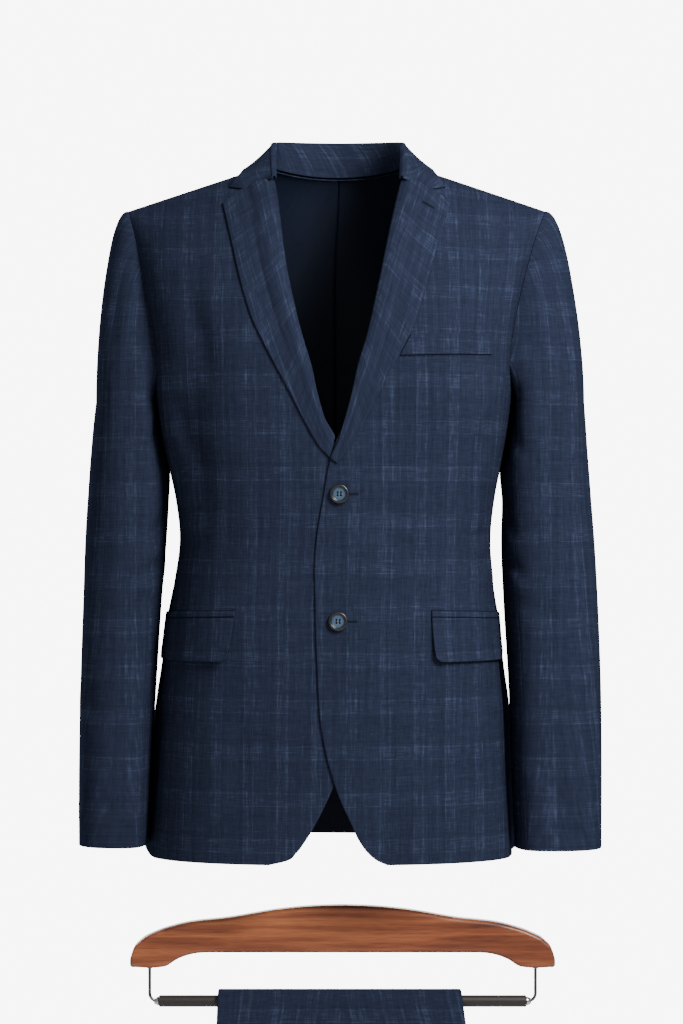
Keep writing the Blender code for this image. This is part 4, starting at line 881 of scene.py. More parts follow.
# The collar's half, from the centre back (0) to its front end (1): station, x, y, z
COLLAR_FOLD = [              # each starts with its mirrored row, so that the nape is round
    (-0.25, -0.0430, 0.0640, 0.0070),
    (0.00, 0.0000, 0.0790, 0.0080), (0.25, 0.0430, 0.0640, 0.0070), (0.50, 0.0660, 0.0270, 0.0030),
    (0.62, 0.0675, 0.0030, -0.0010), (0.80, 0.0672, -0.0250, -0.0200), (1.00, 0.0655, -0.0460, -0.0393),
]
COLLAR_LEAF = [
    (-0.25, -0.0570, 0.0790, -0.0400),
    (0.00, 0.0000, 0.0945, -0.0400), (0.25, 0.0570, 0.0790, -0.0400), (0.50, 0.0935, 0.0390, -0.0350),
    (0.62, 0.0960, 0.0060, -0.0280), (0.80, 0.1000, -0.0210, -0.0330), (1.00, 0.1113, -0.0430, -0.0501),
]
COLLAR_STATIONS = [0.0, 0.12, 0.25, 0.38, 0.5, 0.62, 0.71, 0.8, 0.9, 1.0]
NECK_STATION = 0.62          # where the collar passes the shoulder seam
FOLD_RADIUS = 0.0028
collar_fold = track(COLLAR_FOLD)
collar_leaf = track(COLLAR_LEAF)


def neck_edge(station):
    """The body's neck edge next to this station of the collar, on the wearer's left."""
    if station <= NECK_STATION:
        f = (station / NECK_STATION) * NECK_POINT[0] / SHOULDER_TIP[0]
        return yoke(1, True, np.array(f), math.pi / 2)
    z = mix(NECK_POINT[2], GORGE_START[1] + 0.003, (station - NECK_STATION) / (1 - NECK_STATION))
    rise = (z - YOKE_Z) / (NECK_POINT[2] - YOKE_Z)
    return yoke(1, False, np.array(0.0), math.asin(rise ** (YOKE_SQUARENESS / 2)))


def gorge_end():
    """Points and normals on the wearer's left front along the gorge, the notch and the leaf's end."""
    places = [mix(np.array(GORGE_START), np.array(NOTCH), k) for k in (0.33, 0.66, 1.0)]
    return [front_at(1, x, z) for x, z in places + [np.array(COLLAR_POINT)]]


def collar_section(station):
    """The middle line of the collar's cloth, from the neck seam over the fold to the leaf's edge."""
    fold, leaf = collar_fold(station), collar_leaf(station)
    inward = unit(np.array([-fold[0], -fold[1], 0.0]))
    up = np.array([0.0, 0.0, 1.0])
    seam = neck_edge(station) + inward * (JACKET_WALL / 2 + LAYER) + up * 0.0012
    stand_top = fold + (inward - up) * FOLD_RADIUS
    leaf_top = fold - (inward + up) * FOLD_RADIUS
    if station > 0.95:
        stand_top = mix(seam, stand_top, 0.9)
    ridge = [fold - up * FOLD_RADIUS + (inward * c + up * s) * FOLD_RADIUS
             for c, s in ((0.7, 0.7), (0.0, 1.0), (-0.7, 0.7))]
    body = [mix(leaf_top, leaf, t) for t in (0.0, 0.25, 0.5, 0.75, 1.0)]
    if station > 0.95:
        body[1:] = [p + away * (STAND_OFF + JACKET_WALL / 2) for p, away in gorge_end()]
    return np.array([seam, mix(seam, stand_top, 0.5), stand_top] + ridge + body)


def collar():
    """Collar: its stand rises from the neck edge, and its leaf falls over the shoulders."""
    half = np.array([collar_section(s) for s in COLLAR_STATIONS])
    rows = [(s, *row.ravel()) for s, row in zip(COLLAR_STATIONS, half)]
    mirrored = (-COLLAR_STATIONS[1], *(half[1] * (-1, 1, 1)).ravel())
    along = track([mirrored] + rows)
    stations = spread(60, 0.27)[2:]
    rows = np.moveaxis(along(stations), 0, -1).reshape(len(stations), -1, 3)
    marks = np.arange(rows.shape[1])
    columns = np.interp(np.linspace(0, 1, 49), np.linspace(0, 1, len(marks)), marks)
    columns = np.unique(np.concatenate([columns, [0.02, 0.08, marks[-1] - 0.12, marks[-1] - 0.04]]))
    sections = [np.moveaxis(track([(k, *p) for k, p in zip(marks, row)])(columns), 0, -1) for row in rows]
    left = np.array(sections)
    grid = np.concatenate([left[:0:-1] * (-1, 1, 1), left])
    grid[..., 0] += lean(grid[..., 2])
    normals = unit(np.cross(np.gradient(grid, axis=0), np.gradient(grid, axis=1)))
    middle = len(left) - 1
    normals *= np.sign(normals[middle, -1, 1])
    cut = np.stack([lengths(grid, 0), lengths(grid, 1)], -1)
    shell("cloth_collar", grid, normals, cut, JACKET_WALL,
          outset=JACKET_WALL / 2, node="collar")


# ---------------------------------------------------------------- sleeves

def armscye(side, turn):
    """The armhole's seam by the turn from the shoulder's tip: a quarter is the front, a half is
    the bottom."""
    turn = turn % 1.0
    front_end, back_start = 0.37, 0.63
    front = yoke(side, False, 1.0, (math.pi / 2) * (1 - np.clip(turn / front_end, 0, 1)))
    back = yoke(side, True, 1.0, (math.pi / 2) * (1 - np.clip((1 - turn) / (1 - back_start), 0, 1)))
    s = np.clip((turn - front_end) / (back_start - front_end), 0, 1)
    first, last = long_seams(YOKE_Z)
    under = ring(side, mix(first, last, s), side_top(s))
    turn = turn[..., None]
    return np.where(turn <= front_end, front, np.where(turn >= back_start, back, under))


def sleeve_ring(side, angle, z):
    """A point of the level sleeve sections. The angle is 0 on the outer side and grows to the front."""
    inner_l, outer_l, inner_r, outer_r = sleeve_sides(z)
    inner, outer = (inner_l, outer_l) if side > 0 else (inner_r, outer_r)
    middle_y, half_depth = sleeve_depth(z)
    x = (inner + outer) / 2 + (outer - inner) / 2 * power(np.cos(angle), 2 / SLEEVE_SQUARENESS)
    x -= SLEEVE_LEAN * np.maximum(np.sin(angle), 0) ** 3 * (outer - x) / (outer - inner)
    y = middle_y - half_depth * power(np.sin(angle), 2 / SLEEVE_SQUARENESS)
    return point(side * x, y, z)


def sleeve(side, angle, v):
    """v from 0 at the armhole to 1 where the sections become level, and on to the cuff at 2."""
    angle, v = np.broadcast_arrays(np.asarray(angle, float), np.asarray(v, float))
    lower = sleeve_ring(side, angle, mix(CAP_FOOT_Z, CUFF_Z[side], np.maximum(v - 1, 0)))
    low = 0.5 - 0.5 * np.cos(angle)
    none = 0 * low
    start = armscye(side, angle / (2 * math.pi))
    end = sleeve_ring(side, angle, CAP_FOOT_Z + none)
    reach = np.linalg.norm(end - start, axis=-1)
    leave = unit(point(side * (1.0 - 0.82 * low), -0.25 * np.sin(angle), 0.16 - 1.1 * low))
    leave = leave * np.minimum(0.072, 0.9 * reach)[..., None]
    arrive = point(none, none, -0.95 * reach)
    t = np.clip(v, 0, 1)[..., None]
    cap = ((1 + 2 * t) * (1 - t) ** 2 * start + t * (1 - t) ** 2 * leave
           + t * t * (3 - 2 * t) * end + t * t * (t - 1) * arrive)
    return np.where((v > 1)[..., None], lower, cap)


def sleeve_normal(side, angle, v):
    step = 1e-3
    v = np.clip(v, step, 2 - step) + 0 * angle
    v = np.where(np.abs(v - 1) < 2 * step, 1 + 2 * step, v)
    inside = sum(sleeve(side, a + 0 * v, v) for a in np.arange(0, 6.2, 0.785)) / 8
    return normal_of(lambda a, b: sleeve(side, a, b), angle, v, step, step, inside=inside)


def on_sleeve(side, degrees, v):
    return sleeve(side, math.radians(degrees), v)


def sleeve_folds(side, turn):
    """Creases of one sleeve: at the head, below the armhole, at the elbow's inside and above the cuff.
    turn makes the two sleeves differ."""
    def fold(places, wide, deep):
        return [on_sleeve(side, a + turn, v) for a, v in places], wide, deep
    return Creases([
        fold([(60, 0.16), (64, 0.48), (72, 0.92)], 0.0085, 0.0022),
        fold([(94, 0.26), (92, 0.70), (84, 1.12)], 0.0090, 0.0019 + 0.0006 * side),
        fold([(-60, 0.14), (-66, 0.50), (-70, 0.96)], 0.0090, 0.0023),
        fold([(14, 0.10), (10, 0.40), (4, 0.80)], 0.0110, 0.0010),
        fold([(118, 0.26), (126, 0.60), (132, 0.98), (130, 1.14)], 0.0180, -0.0040),
        fold([(150, 1.02), (128, 1.10), (96, 1.13)], 0.0080, 0.0024),
        fold([(204, 0.40), (207, 0.90), (209, 1.10), (206, 1.20)], 0.0130, -0.0044 - 0.0016 * side),
        fold([(224, 1.02), (240, 1.09), (262, 1.12)], 0.0085, 0.0022),
        fold([(160, 1.24), (130, 1.30), (92, 1.29)], 0.0085, 0.0021),
        fold([(164, 1.36), (132, 1.37), (104, 1.41)], 0.0070, 0.0026),
        fold([(150, 1.47), (120, 1.45), (76, 1.50)], 0.0080, 0.0022 - 0.0004 * side),
        fold([(196, 1.33), (222, 1.38), (258, 1.35)], 0.0085, 0.0018),
        fold([(-20, 1.30), (-44, 1.37), (-72, 1.34)], 0.0090, 0.0014),
        fold([(40, 1.20), (64, 1.34), (60, 1.56)], 0.0120, 0.0012),
        fold([(30, 1.62), (62, 1.70), (104, 1.68)], 0.0095, 0.0016),
        fold([(130, 1.78), (96, 1.83), (58, 1.80)], 0.0085, 0.0015),
        fold([(-30, 1.72), (-62, 1.79), (-96, 1.76)], 0.0090, 0.0016),
        fold([(20, 1.88), (50, 1.92), (86, 1.90)], 0.0070, 0.0010),
    ])


SLEEVE_GIRTH = 0.31          # about, for the grid's columns
SLEEVE_CHECK_DROP = 0.0313   # the sleeves' check lies this much higher than the body's
SLEEVE_TUCK = 0.0030         # the sleeve's seam allowance lies this far inside the armhole's edge
SEAM_GROOVE = 0.0009
sleeve_turns = np.concatenate([spread(34, 0.14)[:-2] * 0.999, [1.0], 1 + spread(100, 0.458)[1:]])


def sleeve_piece(side, kind, folds, start_angle, end_angle, width):
    v = sleeve_turns[:, None]
    z = sleeve(side, 0 * v, v)[..., 2]
    angle = mix(start_angle(z), end_angle(z), spread(int(width / GRID), width)[None, :])
    places, normals = sleeve(side, angle, v), sleeve_normal(side, angle, v)
    inward = unit(armscye(side, np.arange(0, 1, 0.05)).mean(0) - places[:1])
    outward = np.array([side, 0.0, 0.0])
    tucked = [places[:1] + inward * (SLEEVE_TUCK + 0.0005) - outward * 0.0050,
              places[:1] + inward * SLEEVE_TUCK - outward * 0.0010]
    places = np.concatenate([*tucked, places[:1] + inward * SEAM_GROOVE, places[1:]])
    normals = np.concatenate([-inward, -inward, normals])
    middle = np.argmin(np.abs(angle[60] - math.radians(90 if kind == "top" else 270)))
    # the cut keeps the cloth's grain level and upright from the cuff to the cap
    level = len(tucked) + np.argmin(np.abs(sleeve_turns - 1.0))
    run = lengths(places, 1)[level]
    tangent = unit(np.gradient(places[level], axis=0) * (1, 1, 0))
    steps = np.diff(places, axis=0)
    sideways = dot(steps, tangent)
    lengthways = np.linalg.norm(steps - sideways[..., None] * tangent, axis=2)
    drift, down = (np.concatenate([0 * each[:1], np.cumsum(each, 0)]) for each in (sideways, lengthways))
    cut = np.stack([side * (run - run[middle] + drift - drift[level]) + 0.020,
                    CAP_FOOT_Z - (down - down[level]) - SLEEVE_CHECK_DROP], -1)
    name = SIDE_NAMES[side]
    shell(f"cloth_{kind}_sleeve_{name}", places, normals, cut, JACKET_WALL,
          creases=folds,
          node=f"{kind}_sleeve_{name}")


sleeve_creases = {1: sleeve_folds(1, 0), -1: sleeve_folds(-1, -5)}


def sleeves(side):
    """Top sleeve, outside and in front, and under sleeve, inside and behind."""
    folds = sleeve_creases[side]
    sleeve_piece(side, "top", folds, lambda z: back_seam_angle(z)[0], lambda z: FRONT_SEAM_ANGLE + 0 * z,
                 0.55 * SLEEVE_GIRTH)
    sleeve_piece(side, "under", folds, lambda z: FRONT_SEAM_ANGLE + 0 * z,
                 lambda z: back_seam_angle(z)[0] + 2 * math.pi, 0.45 * SLEEVE_GIRTH)


# ---------------------------------------------------------------- pockets

FLAP_GRID = 0.0025
WELT_START = 0.07            # about, for the grid's columns
TORSO_RADIUS = 0.16          # about, to turn a length into an angle


def body_cut(side, angle, z):
    return np.stack([side * ring_run(angle, z), z + 0 * angle], -1)


def breast_welt():
    """Breast welt: from beside the lapel's edge towards the armhole, a little higher there."""
    size = WELT["end"] - WELT_START
    s = spread(int(size / FLAP_GRID), size)[None, :]
    low = WELT["top"] - WELT["height"] * spread(8, WELT["height"])[:, None]
    x = mix(lapel_edge(low)[0] + WELT["clear"], WELT["end"], s)
    places, normals = front_at(1, x + lean(low), low + WELT["rise"] * s)
    cut = np.stack([x + 0.004, low + WELT["rise"] * s + 0.012], -1)
    shell("cloth_breast_welt", places, normals, cut, JACKET_WALL,
          outset=WELT["outset"], creases=BODY_FOLDS, node="breast_welt")


def pocket_angle(side, z, s):
    """The angle at part s of the pocket's length, from its front end."""
    first = ring_angle(side, side * POCKET_X + lean(z), z)
    target = ring_run(first, z) + s * POCKET_LENGTH
    angle = first + 0 * target
    for _ in range(25):
        angle = angle + (target - ring_run(angle, z)) / TORSO_RADIUS
    return angle


FLAP_SLANT = {1: 0.0022, -1: 0.0055}      # how far the flap's front edge leans back
FLAP_CURL, CORNER_CURL = 0.0032, 0.0020   # how far its lower edge and corners stand off the cloth
CORNER_REACH = 0.018


def pocket(side):
    """Flap pocket: the jet along the cut, the flap that hangs from under it, and two dark cords of painted
    shadow along the jet's top and the join of jet and flap.
    """
    name = SIDE_NAMES[side]
    s = spread(int(POCKET_LENGTH / FLAP_GRID), POCKET_LENGTH)
    s = np.unique(np.concatenate([s, np.linspace(0, 0.06, 8), np.linspace(0.94, 1, 8)]))[None, :]
    on_top = STAND_OFF + JACKET_WALL
    for kind, top, height, corner, narrowing in (
            ("jet", JET_TOP_Z, JET_HEIGHT, 0.0, 0.0),
            ("flap", JET_TOP_Z - JET_HEIGHT, FLAP_HEIGHT, FLAP_CORNER, 0.10)):
        t = spread(max(3, int(height / FLAP_GRID)), height)[:, None]
        end = np.minimum(s, 1 - s) * POCKET_LENGTH
        cut_off = corner - np.sqrt(np.maximum(corner ** 2 - np.maximum(corner - end, 0) ** 2, 0))
        z = top - POCKET_TILT * s - t * (height * (1 - narrowing * s) - cut_off)
        slant = FLAP_SLANT[side] * t * (1 - s) if kind == "flap" else 0 * t
        angle = pocket_angle(side, z, s + slant / POCKET_LENGTH)
        places, normals = ring(side, angle, z), ring_normal(side, angle, z)
        if kind == "flap":      # it curls a little off the cloth at its lower corners and edge
            at_corner = CORNER_CURL * (t ** 3) * (np.exp(-(end / CORNER_REACH) ** 2))
            curl = (FLAP_CURL * t ** 2 + at_corner) * (1 - 0.75 * s)
            places = places + normals * curl[..., None]
        shell(f"cloth_pocket_{kind}_{name}", places, normals, body_cut(side, angle, z), JACKET_WALL,
              outset=on_top, creases=BODY_FOLDS,
              node=f"pocket_{kind}_{name}", rounding=EDGE_ROUND)
    # painted shadow: dark cords along the jet's top and the join of jet and flap stand in for the shade in
    # those seams
    lines = []
    for top, rise in ((JET_TOP_Z + 0.0003, 0.4 * on_top), (JET_TOP_Z - JET_HEIGHT, on_top - 0.0001)):
        z = top - POCKET_TILT * s[0]
        angle = pocket_angle(side, z, s[0])
        places, normals = ring(side, angle, z), ring_normal(side, angle, z)
        lines.append(list(places + normals * (BODY_FOLDS.rise(places, normals) + rise)[:, None]))
    own(cords(f"pocket_painted_shadow_{name}", lines, 0.00050, painted_shadow_thread, resolution=1), "suit_cloth")


# ---------------------------------------------------------------- buttons and sewing

def horn():
    """Blue-grey polished button: a paler dish inside a dark marbled rim."""
    made, tree, shader = new_material("blue_button", 0.30, specular=0.35, coat=0.10)
    place = add(tree, "TexCoord").outputs["Object"]
    parts = add(tree, "SeparateXYZ", {0: place})
    flat = add(tree, "CombineXYZ", {0: parts.outputs[0], 1: parts.outputs[1]}).outputs[0]
    far = add(tree, "VectorMath", {0: flat}, operation="LENGTH").outputs["Value"]
    cloud = noise(tree, place, 420.0, 3.0, (1, 0.35, 1))
    far = maths(tree, "MULTIPLY_ADD", cloud, 0.0016, far)
    far = maths(tree, "DIVIDE", far, FRONT_BUTTON[0] / 2)
    colour = colours(tree, far, [(0.30, (0.048, 0.085, 0.135)), (0.66, (0.030, 0.055, 0.090)),
                                 (0.80, (0.006, 0.008, 0.012)), (1.0, (0.012, 0.013, 0.016))])
    join(shader, Base_Color=colour)
    return made


def thread_material(name, colour):
    made, tree, shader = new_material(name, 0.75, specular=0.06)
    fine = noise(tree, add(tree, "TexCoord").outputs["Object"], 2400.0, 2.0)
    dark = tuple(0.55 * c for c in colour)
    join(shader, Base_Color=colours(tree, fine, [(0.3, dark), (0.7, colour)]),
         Normal=bump(tree, fine, 0.4, 0.0001))
    return made


button_horn = horn()
navy_thread = thread_material("navy_thread", (0.012, 0.016, 0.030))
# a near-black thread, used only for the pockets' painted shadow lines
painted_shadow_thread = thread_material("painted_shadow_thread", (0.005, 0.007, 0.012))

HOLE_RADIUS, HOLE_OFFSET = 0.00095, 0.00165       # of a front button
# A strand's way from hole to hole: part of the holes' distance, height over the dish
THREAD_ARCH = [(-1.0, -0.0011), (-0.92, 0.0001), (-0.5, 0.00045), (0.5, 0.00045), (0.92, 0.0001),
               (1.0, -0.0011)]


def basis(away):
    """Axes on the cloth: across, up and away from it."""
    across = unit(np.cross((0, 0, 1), away))
    return np.stack([across, np.cross(away, across), away], 1)


def sewn_place(place, away, folds):
    """A place on a creased cloth surface."""
    return place + away * float(folds.rise(place[None], away[None])[0])


def button(name, size, place, away, node):
    """A dished button with a rounded rim, four holes and its sewing thread."""
    radius, thick = size[0] / 2, size[1]
    scale = size[0] / FRONT_BUTTON[0]
    profile = track([(0.00, 0.60), (0.45, 0.60), (0.60, 0.64), (0.70, 0.90), (0.80, 1.00), (0.90, 0.96),
                     (0.97, 0.76), (1.00, 0.52)])
    radii = np.concatenate([np.linspace(0.02, 0.60, 34), np.linspace(0.62, 1.0, 22)])
    angles = np.linspace(0, 2 * math.pi, 97)[:-1]
    x = radius * radii[:, None] * np.cos(angles)
    y = radius * radii[:, None] * np.sin(angles)
    top = thick * profile(radii)[0][:, None] + 0 * x
    for cx in (-1, 1):
        for cy in (-1, 1):
            far = np.hypot(x - cx * HOLE_OFFSET * scale, y - cy * HOLE_OFFSET * scale)
            top -= 0.5 * thick * (1 - ease((far / scale - 0.8 * HOLE_RADIUS) / (0.35 * HOLE_RADIUS)))
    under = [(0.97, 0.20), (0.90, 0.05), (0.60, 0.0)]
    bm = bmesh.new()
    rings = [[bm.verts.new((a, b, c)) for a, b, c in zip(*row)] for row in zip(x, y, top)]
    for r, h in under:
        rings.append([bm.verts.new((radius * r * math.cos(a), radius * r * math.sin(a), thick * h))
                      for a in angles])
    for low, high in zip(rings, rings[1:]):
        for k in range(len(angles)):
            bm.faces.new((low[k - 1], high[k - 1], high[k], low[k]))
    bm.faces.new(rings[0])
    bm.faces.new(rings[-1][::-1])
    bmesh.ops.recalc_face_normals(bm, faces=bm.faces)
    made = to_object(name, bm, [button_horn], 70)
    axes = basis(away)
    made.rotation_euler = Vector(away).to_track_quat("Z", "Y").to_euler()
    made.location = place + away * LAYER
    own(made, "button", node)
    strands = []
    for cx in (-1, 1):
        for shift in (-0.22, 0.22):
            arch = [(cx * HOLE_OFFSET + shift * 0.001, HOLE_OFFSET * c, 0.60 * FRONT_BUTTON[1] + h)
                    for c, h in THREAD_ARCH]
            strands.append([made.location + Vector(axes @ (np.array(p) * scale)) for p in arch])
    stitched = cords(name + "_thread", strands, 0.00022 * scale, navy_thread)
    own(stitched, "button")


def cords(name, lines, radius, finish, pitch=None, closed=False, resolution=3):
    """Round strands along lines of places. With a pitch their thickness pulses, as close stitches do."""
    curve = bpy.data.curves.new(name, "CURVE")
    curve.dimensions = "3D"
    curve.bevel_depth = radius
    curve.bevel_resolution = resolution
    curve.use_fill_caps = True
    for line in lines:
        spline = curve.splines.new("POLY")
        spline.points.add(len(line) - 1)
        spline.use_cyclic_u = closed
        for i, (each, place) in enumerate(zip(spline.points, line)):
            each.co = (*place, 1)
            each.radius = 1.0 if pitch is None or i % 2 else 0.72
    curve.materials.append(finish)
    made = bpy.data.objects.new(name, curve)
    bpy.context.scene.collection.objects.link(made)
    return made


HOLE_HALF_WIDTH, PURL = 0.0007, 0.00050


def buttonhole(name, start, end, surface):
    """A worked buttonhole between two places (x, z) on a surface: its stitched edge, and along its slit a
    dark cord that is painted shade in the cut.
    """
    start, end = np.array(start), np.array(end)
    step = unit(end - start)
    side_step = np.array([-step[1], step[0]])
    size = np.linalg.norm(end - start)
    count = int(size / 0.0004)
    edge = [start + step * size * t + side_step * HOLE_HALF_WIDTH for t in np.linspace(0, 1, count)]
    turn = [end + HOLE_HALF_WIDTH * (step * math.sin(a) + side_step * math.cos(a))
            for a in np.linspace(0.3, math.pi - 0.3, 5)]
    back = [start + step * size * t - side_step * HOLE_HALF_WIDTH for t in np.linspace(1, 0, count)]
    head = [start - HOLE_HALF_WIDTH * (step * math.sin(a) + side_step * math.cos(a))
            for a in np.linspace(0.3, math.pi - 0.3, 5)]
    line = [surface(*p) for p in edge + turn + back + head]
    purl = cords(name, [[p + n * 0.0002 for p, n in line]], PURL, navy_thread, pitch=2, closed=True)
    own(purl, "suit_cloth")
    # the slit is a real cut; the near-black cord laid in it is painted shade
    slit = [surface(*(start + step * size * t)) for t in np.linspace(0, 1, 12)]
    dark = cords(name + "_painted_shade_slit", [[p - n * 0.0001 for p, n in slit]], 0.00042, lining, resolution=1)
    own(dark, "suit_cloth")


def on_left_front(x, z):
    place, away = front_at(1, x, z)
    return sewn_place(place, away, BODY_FOLDS), away


def on_left_lapel(x, z):
    place, away = on_left_front(x, z)
    return place + away * (STAND_OFF + JACKET_WALL), away


BUTTONHOLE = (-0.0030, 0.0185)                    # from the button's centre
LAPEL_HOLE = ((0.0965, -0.0752), (0.0800, -0.0656))
SHANK = 0.0006                                    # a button stands this much off the cloth


def cuff_button_place(side, i):
    z = CUFF_Z[side] + CUFF_BUTTON_RISE + i * CUFF_BUTTON_PITCH
    angle = back_seam_angle(z)[0] + CUFF_BUTTON_INSET / SLEEVE_RADIUS
    v = 1 + (z - CAP_FOOT_Z) / (CUFF_Z[side] - CAP_FOOT_Z)
    away = sleeve_normal(side, np.array(angle), np.array(v))
    return sewn_place(sleeve(side, angle, v), away, sleeve_creases[side]), away


def buttons():
    for i, (x, z) in enumerate(FRONT_BUTTON_PLACES):
        place, away = on_left_front(x, z)
        button(f"button_front_{i + 1}", FRONT_BUTTON, place + away * SHANK, away, f"front_button_{i + 1}")
        buttonhole(f"buttonhole_{i + 1}", (x + BUTTONHOLE[0], z), (x + BUTTONHOLE[1], z), on_left_front)
    buttonhole("lapel_buttonhole", *LAPEL_HOLE, on_left_lapel)
    for side, name in SIDE_NAMES.items():
        for i in range(CUFF_BUTTONS):
            place, away = cuff_button_place(side, i)
            button(f"button_cuff_{name}_{i + 1}", CUFF_BUTTON, place, away, f"cuff_button_{name}_{i + 1}")


# ---------------------------------------------------------------- hanger

def wood():
    """Reddish varnished wood with its grain along the bar."""
    made, tree, shader = new_material("varnished_wood", 0.38, specular=0.3, coat=0.12)
    place = add(tree, "TexCoord").outputs["Object"]
    grain = noise(tree, place, 1.0, 4.0, (7, 60, 150), 0.6)
    pores = noise(tree, place, 1.0, 2.0, (60, 900, 1500))
    wide = noise(tree, place, 1.0, 2.0, (4, 12, 18))
    light = maths(tree, "MULTIPLY_ADD", grain, 0.55, maths(tree, "MULTIPLY", wide, 0.45))
    light = maths(tree, "MULTIPLY_ADD", pores, 0.16, maths(tree, "SUBTRACT", light, 0.08))
    colour = colours(tree, light, [(0.34, (0.046, 0.011, 0.006)), (0.50, (0.185, 0.050, 0.020)),
                                   (0.68, (0.370, 0.125, 0.048))])
    join(shader, Base_Color=colour, Roughness=ramp(tree, grain, [(0.3, 0.44), (0.8, 0.32)]),
         Normal=bump(tree, pores, 0.12, 0.0002))
    return made


def metal(name, low, high):
    made, tree, shader = new_material(name, 0.16, metallic=1.0)
    fine = noise(tree, add(tree, "TexCoord").outputs["Object"], 900.0, 2.0)
    colour = colours(tree, fine, [(0.3, (low, low, 1.1 * low)), (0.7, (high, high, 1.1 * high))])
    join(shader, Base_Color=colour, Roughness=ramp(tree, fine, [(0.3, 0.12), (0.7, 0.24)]))
    return made


def sleeve_rubber():
    made, tree, shader = new_material("dark_rod_sleeve", 0.5, specular=0.4)
    fine = noise(tree, add(tree, "TexCoord").outputs["Object"], 1400.0, 3.0)
    colour = colours(tree, fine, [(0.3, (0.010, 0.008, 0.008)), (0.7, (0.026, 0.020, 0.018))])
    join(shader, Base_Color=colour, Normal=bump(tree, fine, 0.25, 0.0002))
    return made


hanger_wood, rod_cover = wood(), sleeve_rubber()
# the wires' and ferrules' steel has a low base colour: painted shade that stands in for the dark
# surroundings that the wire reflects
hanger_wire, hanger_bright = metal("steel_with_painted_dark_reflection", 0.10, 0.17), metal("bright_steel", 0.42, 0.60)
BAR_ROUND = 0.0046           # rounding of the bar's long edges
BAR_TIP = 0.012              # part of the half bar over which its ends round off in depth
bar_top, bar_bottom = track(BAR_TOP), track(BAR_BOTTOM)
# Distance along, radius
FERRULE = [(0, 0.0018), (0, 0.0030), (0.0006, 0.0034), (0.0016, 0.0034), (0.0022, 0.0028)]
ROD_CAP = [(0, 0.0022), (0.0004, 0.0030), (0.0030, 0.0042), (0.0044, 0.0044), (0.0048, 0.0040)]


def bar_section(along):
    """The bar's section at this part of its half length, as rounded corners in depth and height."""
    low, high = bar_bottom(-abs(along))[0] + 0.0, bar_top(-abs(along))[0] + 0.0
    closing = np.clip((abs(along) - 1 + BAR_TIP) / BAR_TIP, 0, 1)
    half = BAR_THICK / 2 * (0.30 + 0.70 * math.sqrt(1 - closing ** 2))
    radius = min(BAR_ROUND, 0.48 * (high - low), 0.9 * half)
    places = []
    for start, y, z in ((0, half, high), (90, -half, high), (180, -half, low), (270, half, low)):
        for turn in np.radians(np.linspace(start, start + 90, 8)):
            corner = (y - math.copysign(radius, y), z - math.copysign(radius, z - (low + high) / 2))
            places.append((corner[0] + radius * math.cos(turn), corner[1] + radius * math.sin(turn)))
    return places


def close_rings(bm, rings):
    """Walls between neighbouring rings of vertices, and a face on the first and last."""
    for low, high in zip(rings, rings[1:]):
        for k in range(len(low)):
            bm.faces.new((low[k - 1], low[k], high[k], high[k - 1]))
    bm.faces.new(rings[0])
    bm.faces.new(rings[-1][::-1])
    bmesh.ops.recalc_face_normals(bm, faces=bm.faces)


def bar():
    ends = 1 - 0.05 * np.linspace(0, 1, 30)[1:] ** 2
    stations = np.concatenate([-ends, np.linspace(-0.945, 0.945, 120), ends[::-1]])
    bm = bmesh.new()
    rings = [[bm.verts.new((HANGER_X + BAR_HALF * t, BAR_Y + y, BAR_FOOT_Z + z)) for y, z in bar_section(t)]
             for t in stations]
    close_rings(bm, rings)
    own(to_object("wooden_bar", bm, [hanger_wood], 50), "hanger_wood", "hanger_bar")


def lathe(name, profile, ends, finish, slot_name, nodes=(), steps=40):
    """A solid turned from a profile of (distance along, radius) on the line between two ends."""
    start, end = (np.array(e) for e in ends)
    axes = basis(unit(end - start)) if abs(unit(end - start)[2]) < 0.9 else np.eye(3)
    bm = bmesh.new()
    angles = np.linspace(0, 2 * math.pi, steps + 1)[:-1]
    rings = [[bm.verts.new(start + axes @ (r * math.cos(a), r * math.sin(a), d)) for a in angles]
             for d, r in profile]
    close_rings(bm, rings)
    return own(to_object(name, bm, [finish], 40), slot_name, *nodes)


def hanger():
    """Hanger: an arched wooden bar, two bent wires in its ends, and the rod that they carry."""
    bar()
    for side, name in SIDE_NAMES.items():
        line = [(WIRE_X, BAR_FOOT_Z + 0.004), (WIRE_X, ROD_Z + ELBOW_RADIUS + 0.01)]
        line += [(WIRE_X - ELBOW_RADIUS * (1 - math.cos(a)), ROD_Z + ELBOW_RADIUS * (1 - math.sin(a)))
                 for a in np.linspace(0, math.pi / 2, 16)]
        line += [(ROD_HALF - 0.004, ROD_Z)]
        places = [(HANGER_X + side * x, BAR_Y, z) for x, z in line]
        own(cords(f"wire_{name}", [places], WIRE_RADIUS, hanger_wire, resolution=6), "bright_wire",
            f"hanger_wire_{name}")
        foot = HANGER_X + side * WIRE_X
        ends = ((foot, BAR_Y, BAR_FOOT_Z - 0.0018), (foot, BAR_Y, BAR_FOOT_Z + 0.001))
        lathe(f"ferrule_{name}", FERRULE, ends, hanger_wire, "bright_wire", steps=24)
        end = HANGER_X + side * ROD_HALF
        lathe(f"rod_cap_{name}", ROD_CAP, ((end + side * 0.0046, BAR_Y, ROD_Z), (end, BAR_Y, ROD_Z)),
              hanger_bright, "bright_wire", steps=24)
    r, size = ROD_RADIUS, 2 * ROD_HALF
    ends = [(0, 0.6 * r), (0.0003, 0.85 * r), (0.0012, r), (0.0050, r)]
    profile = ends + [(size - d, radius) for d, radius in ends[::-1]]
    lathe("rod_cover", profile, ((HANGER_X - ROD_HALF, BAR_Y, ROD_Z), (HANGER_X + ROD_HALF, BAR_Y, ROD_Z)),
          rod_cover, "rod_sleeve", ["hanger_rod"])


# ---------------------------------------------------------------- trousers

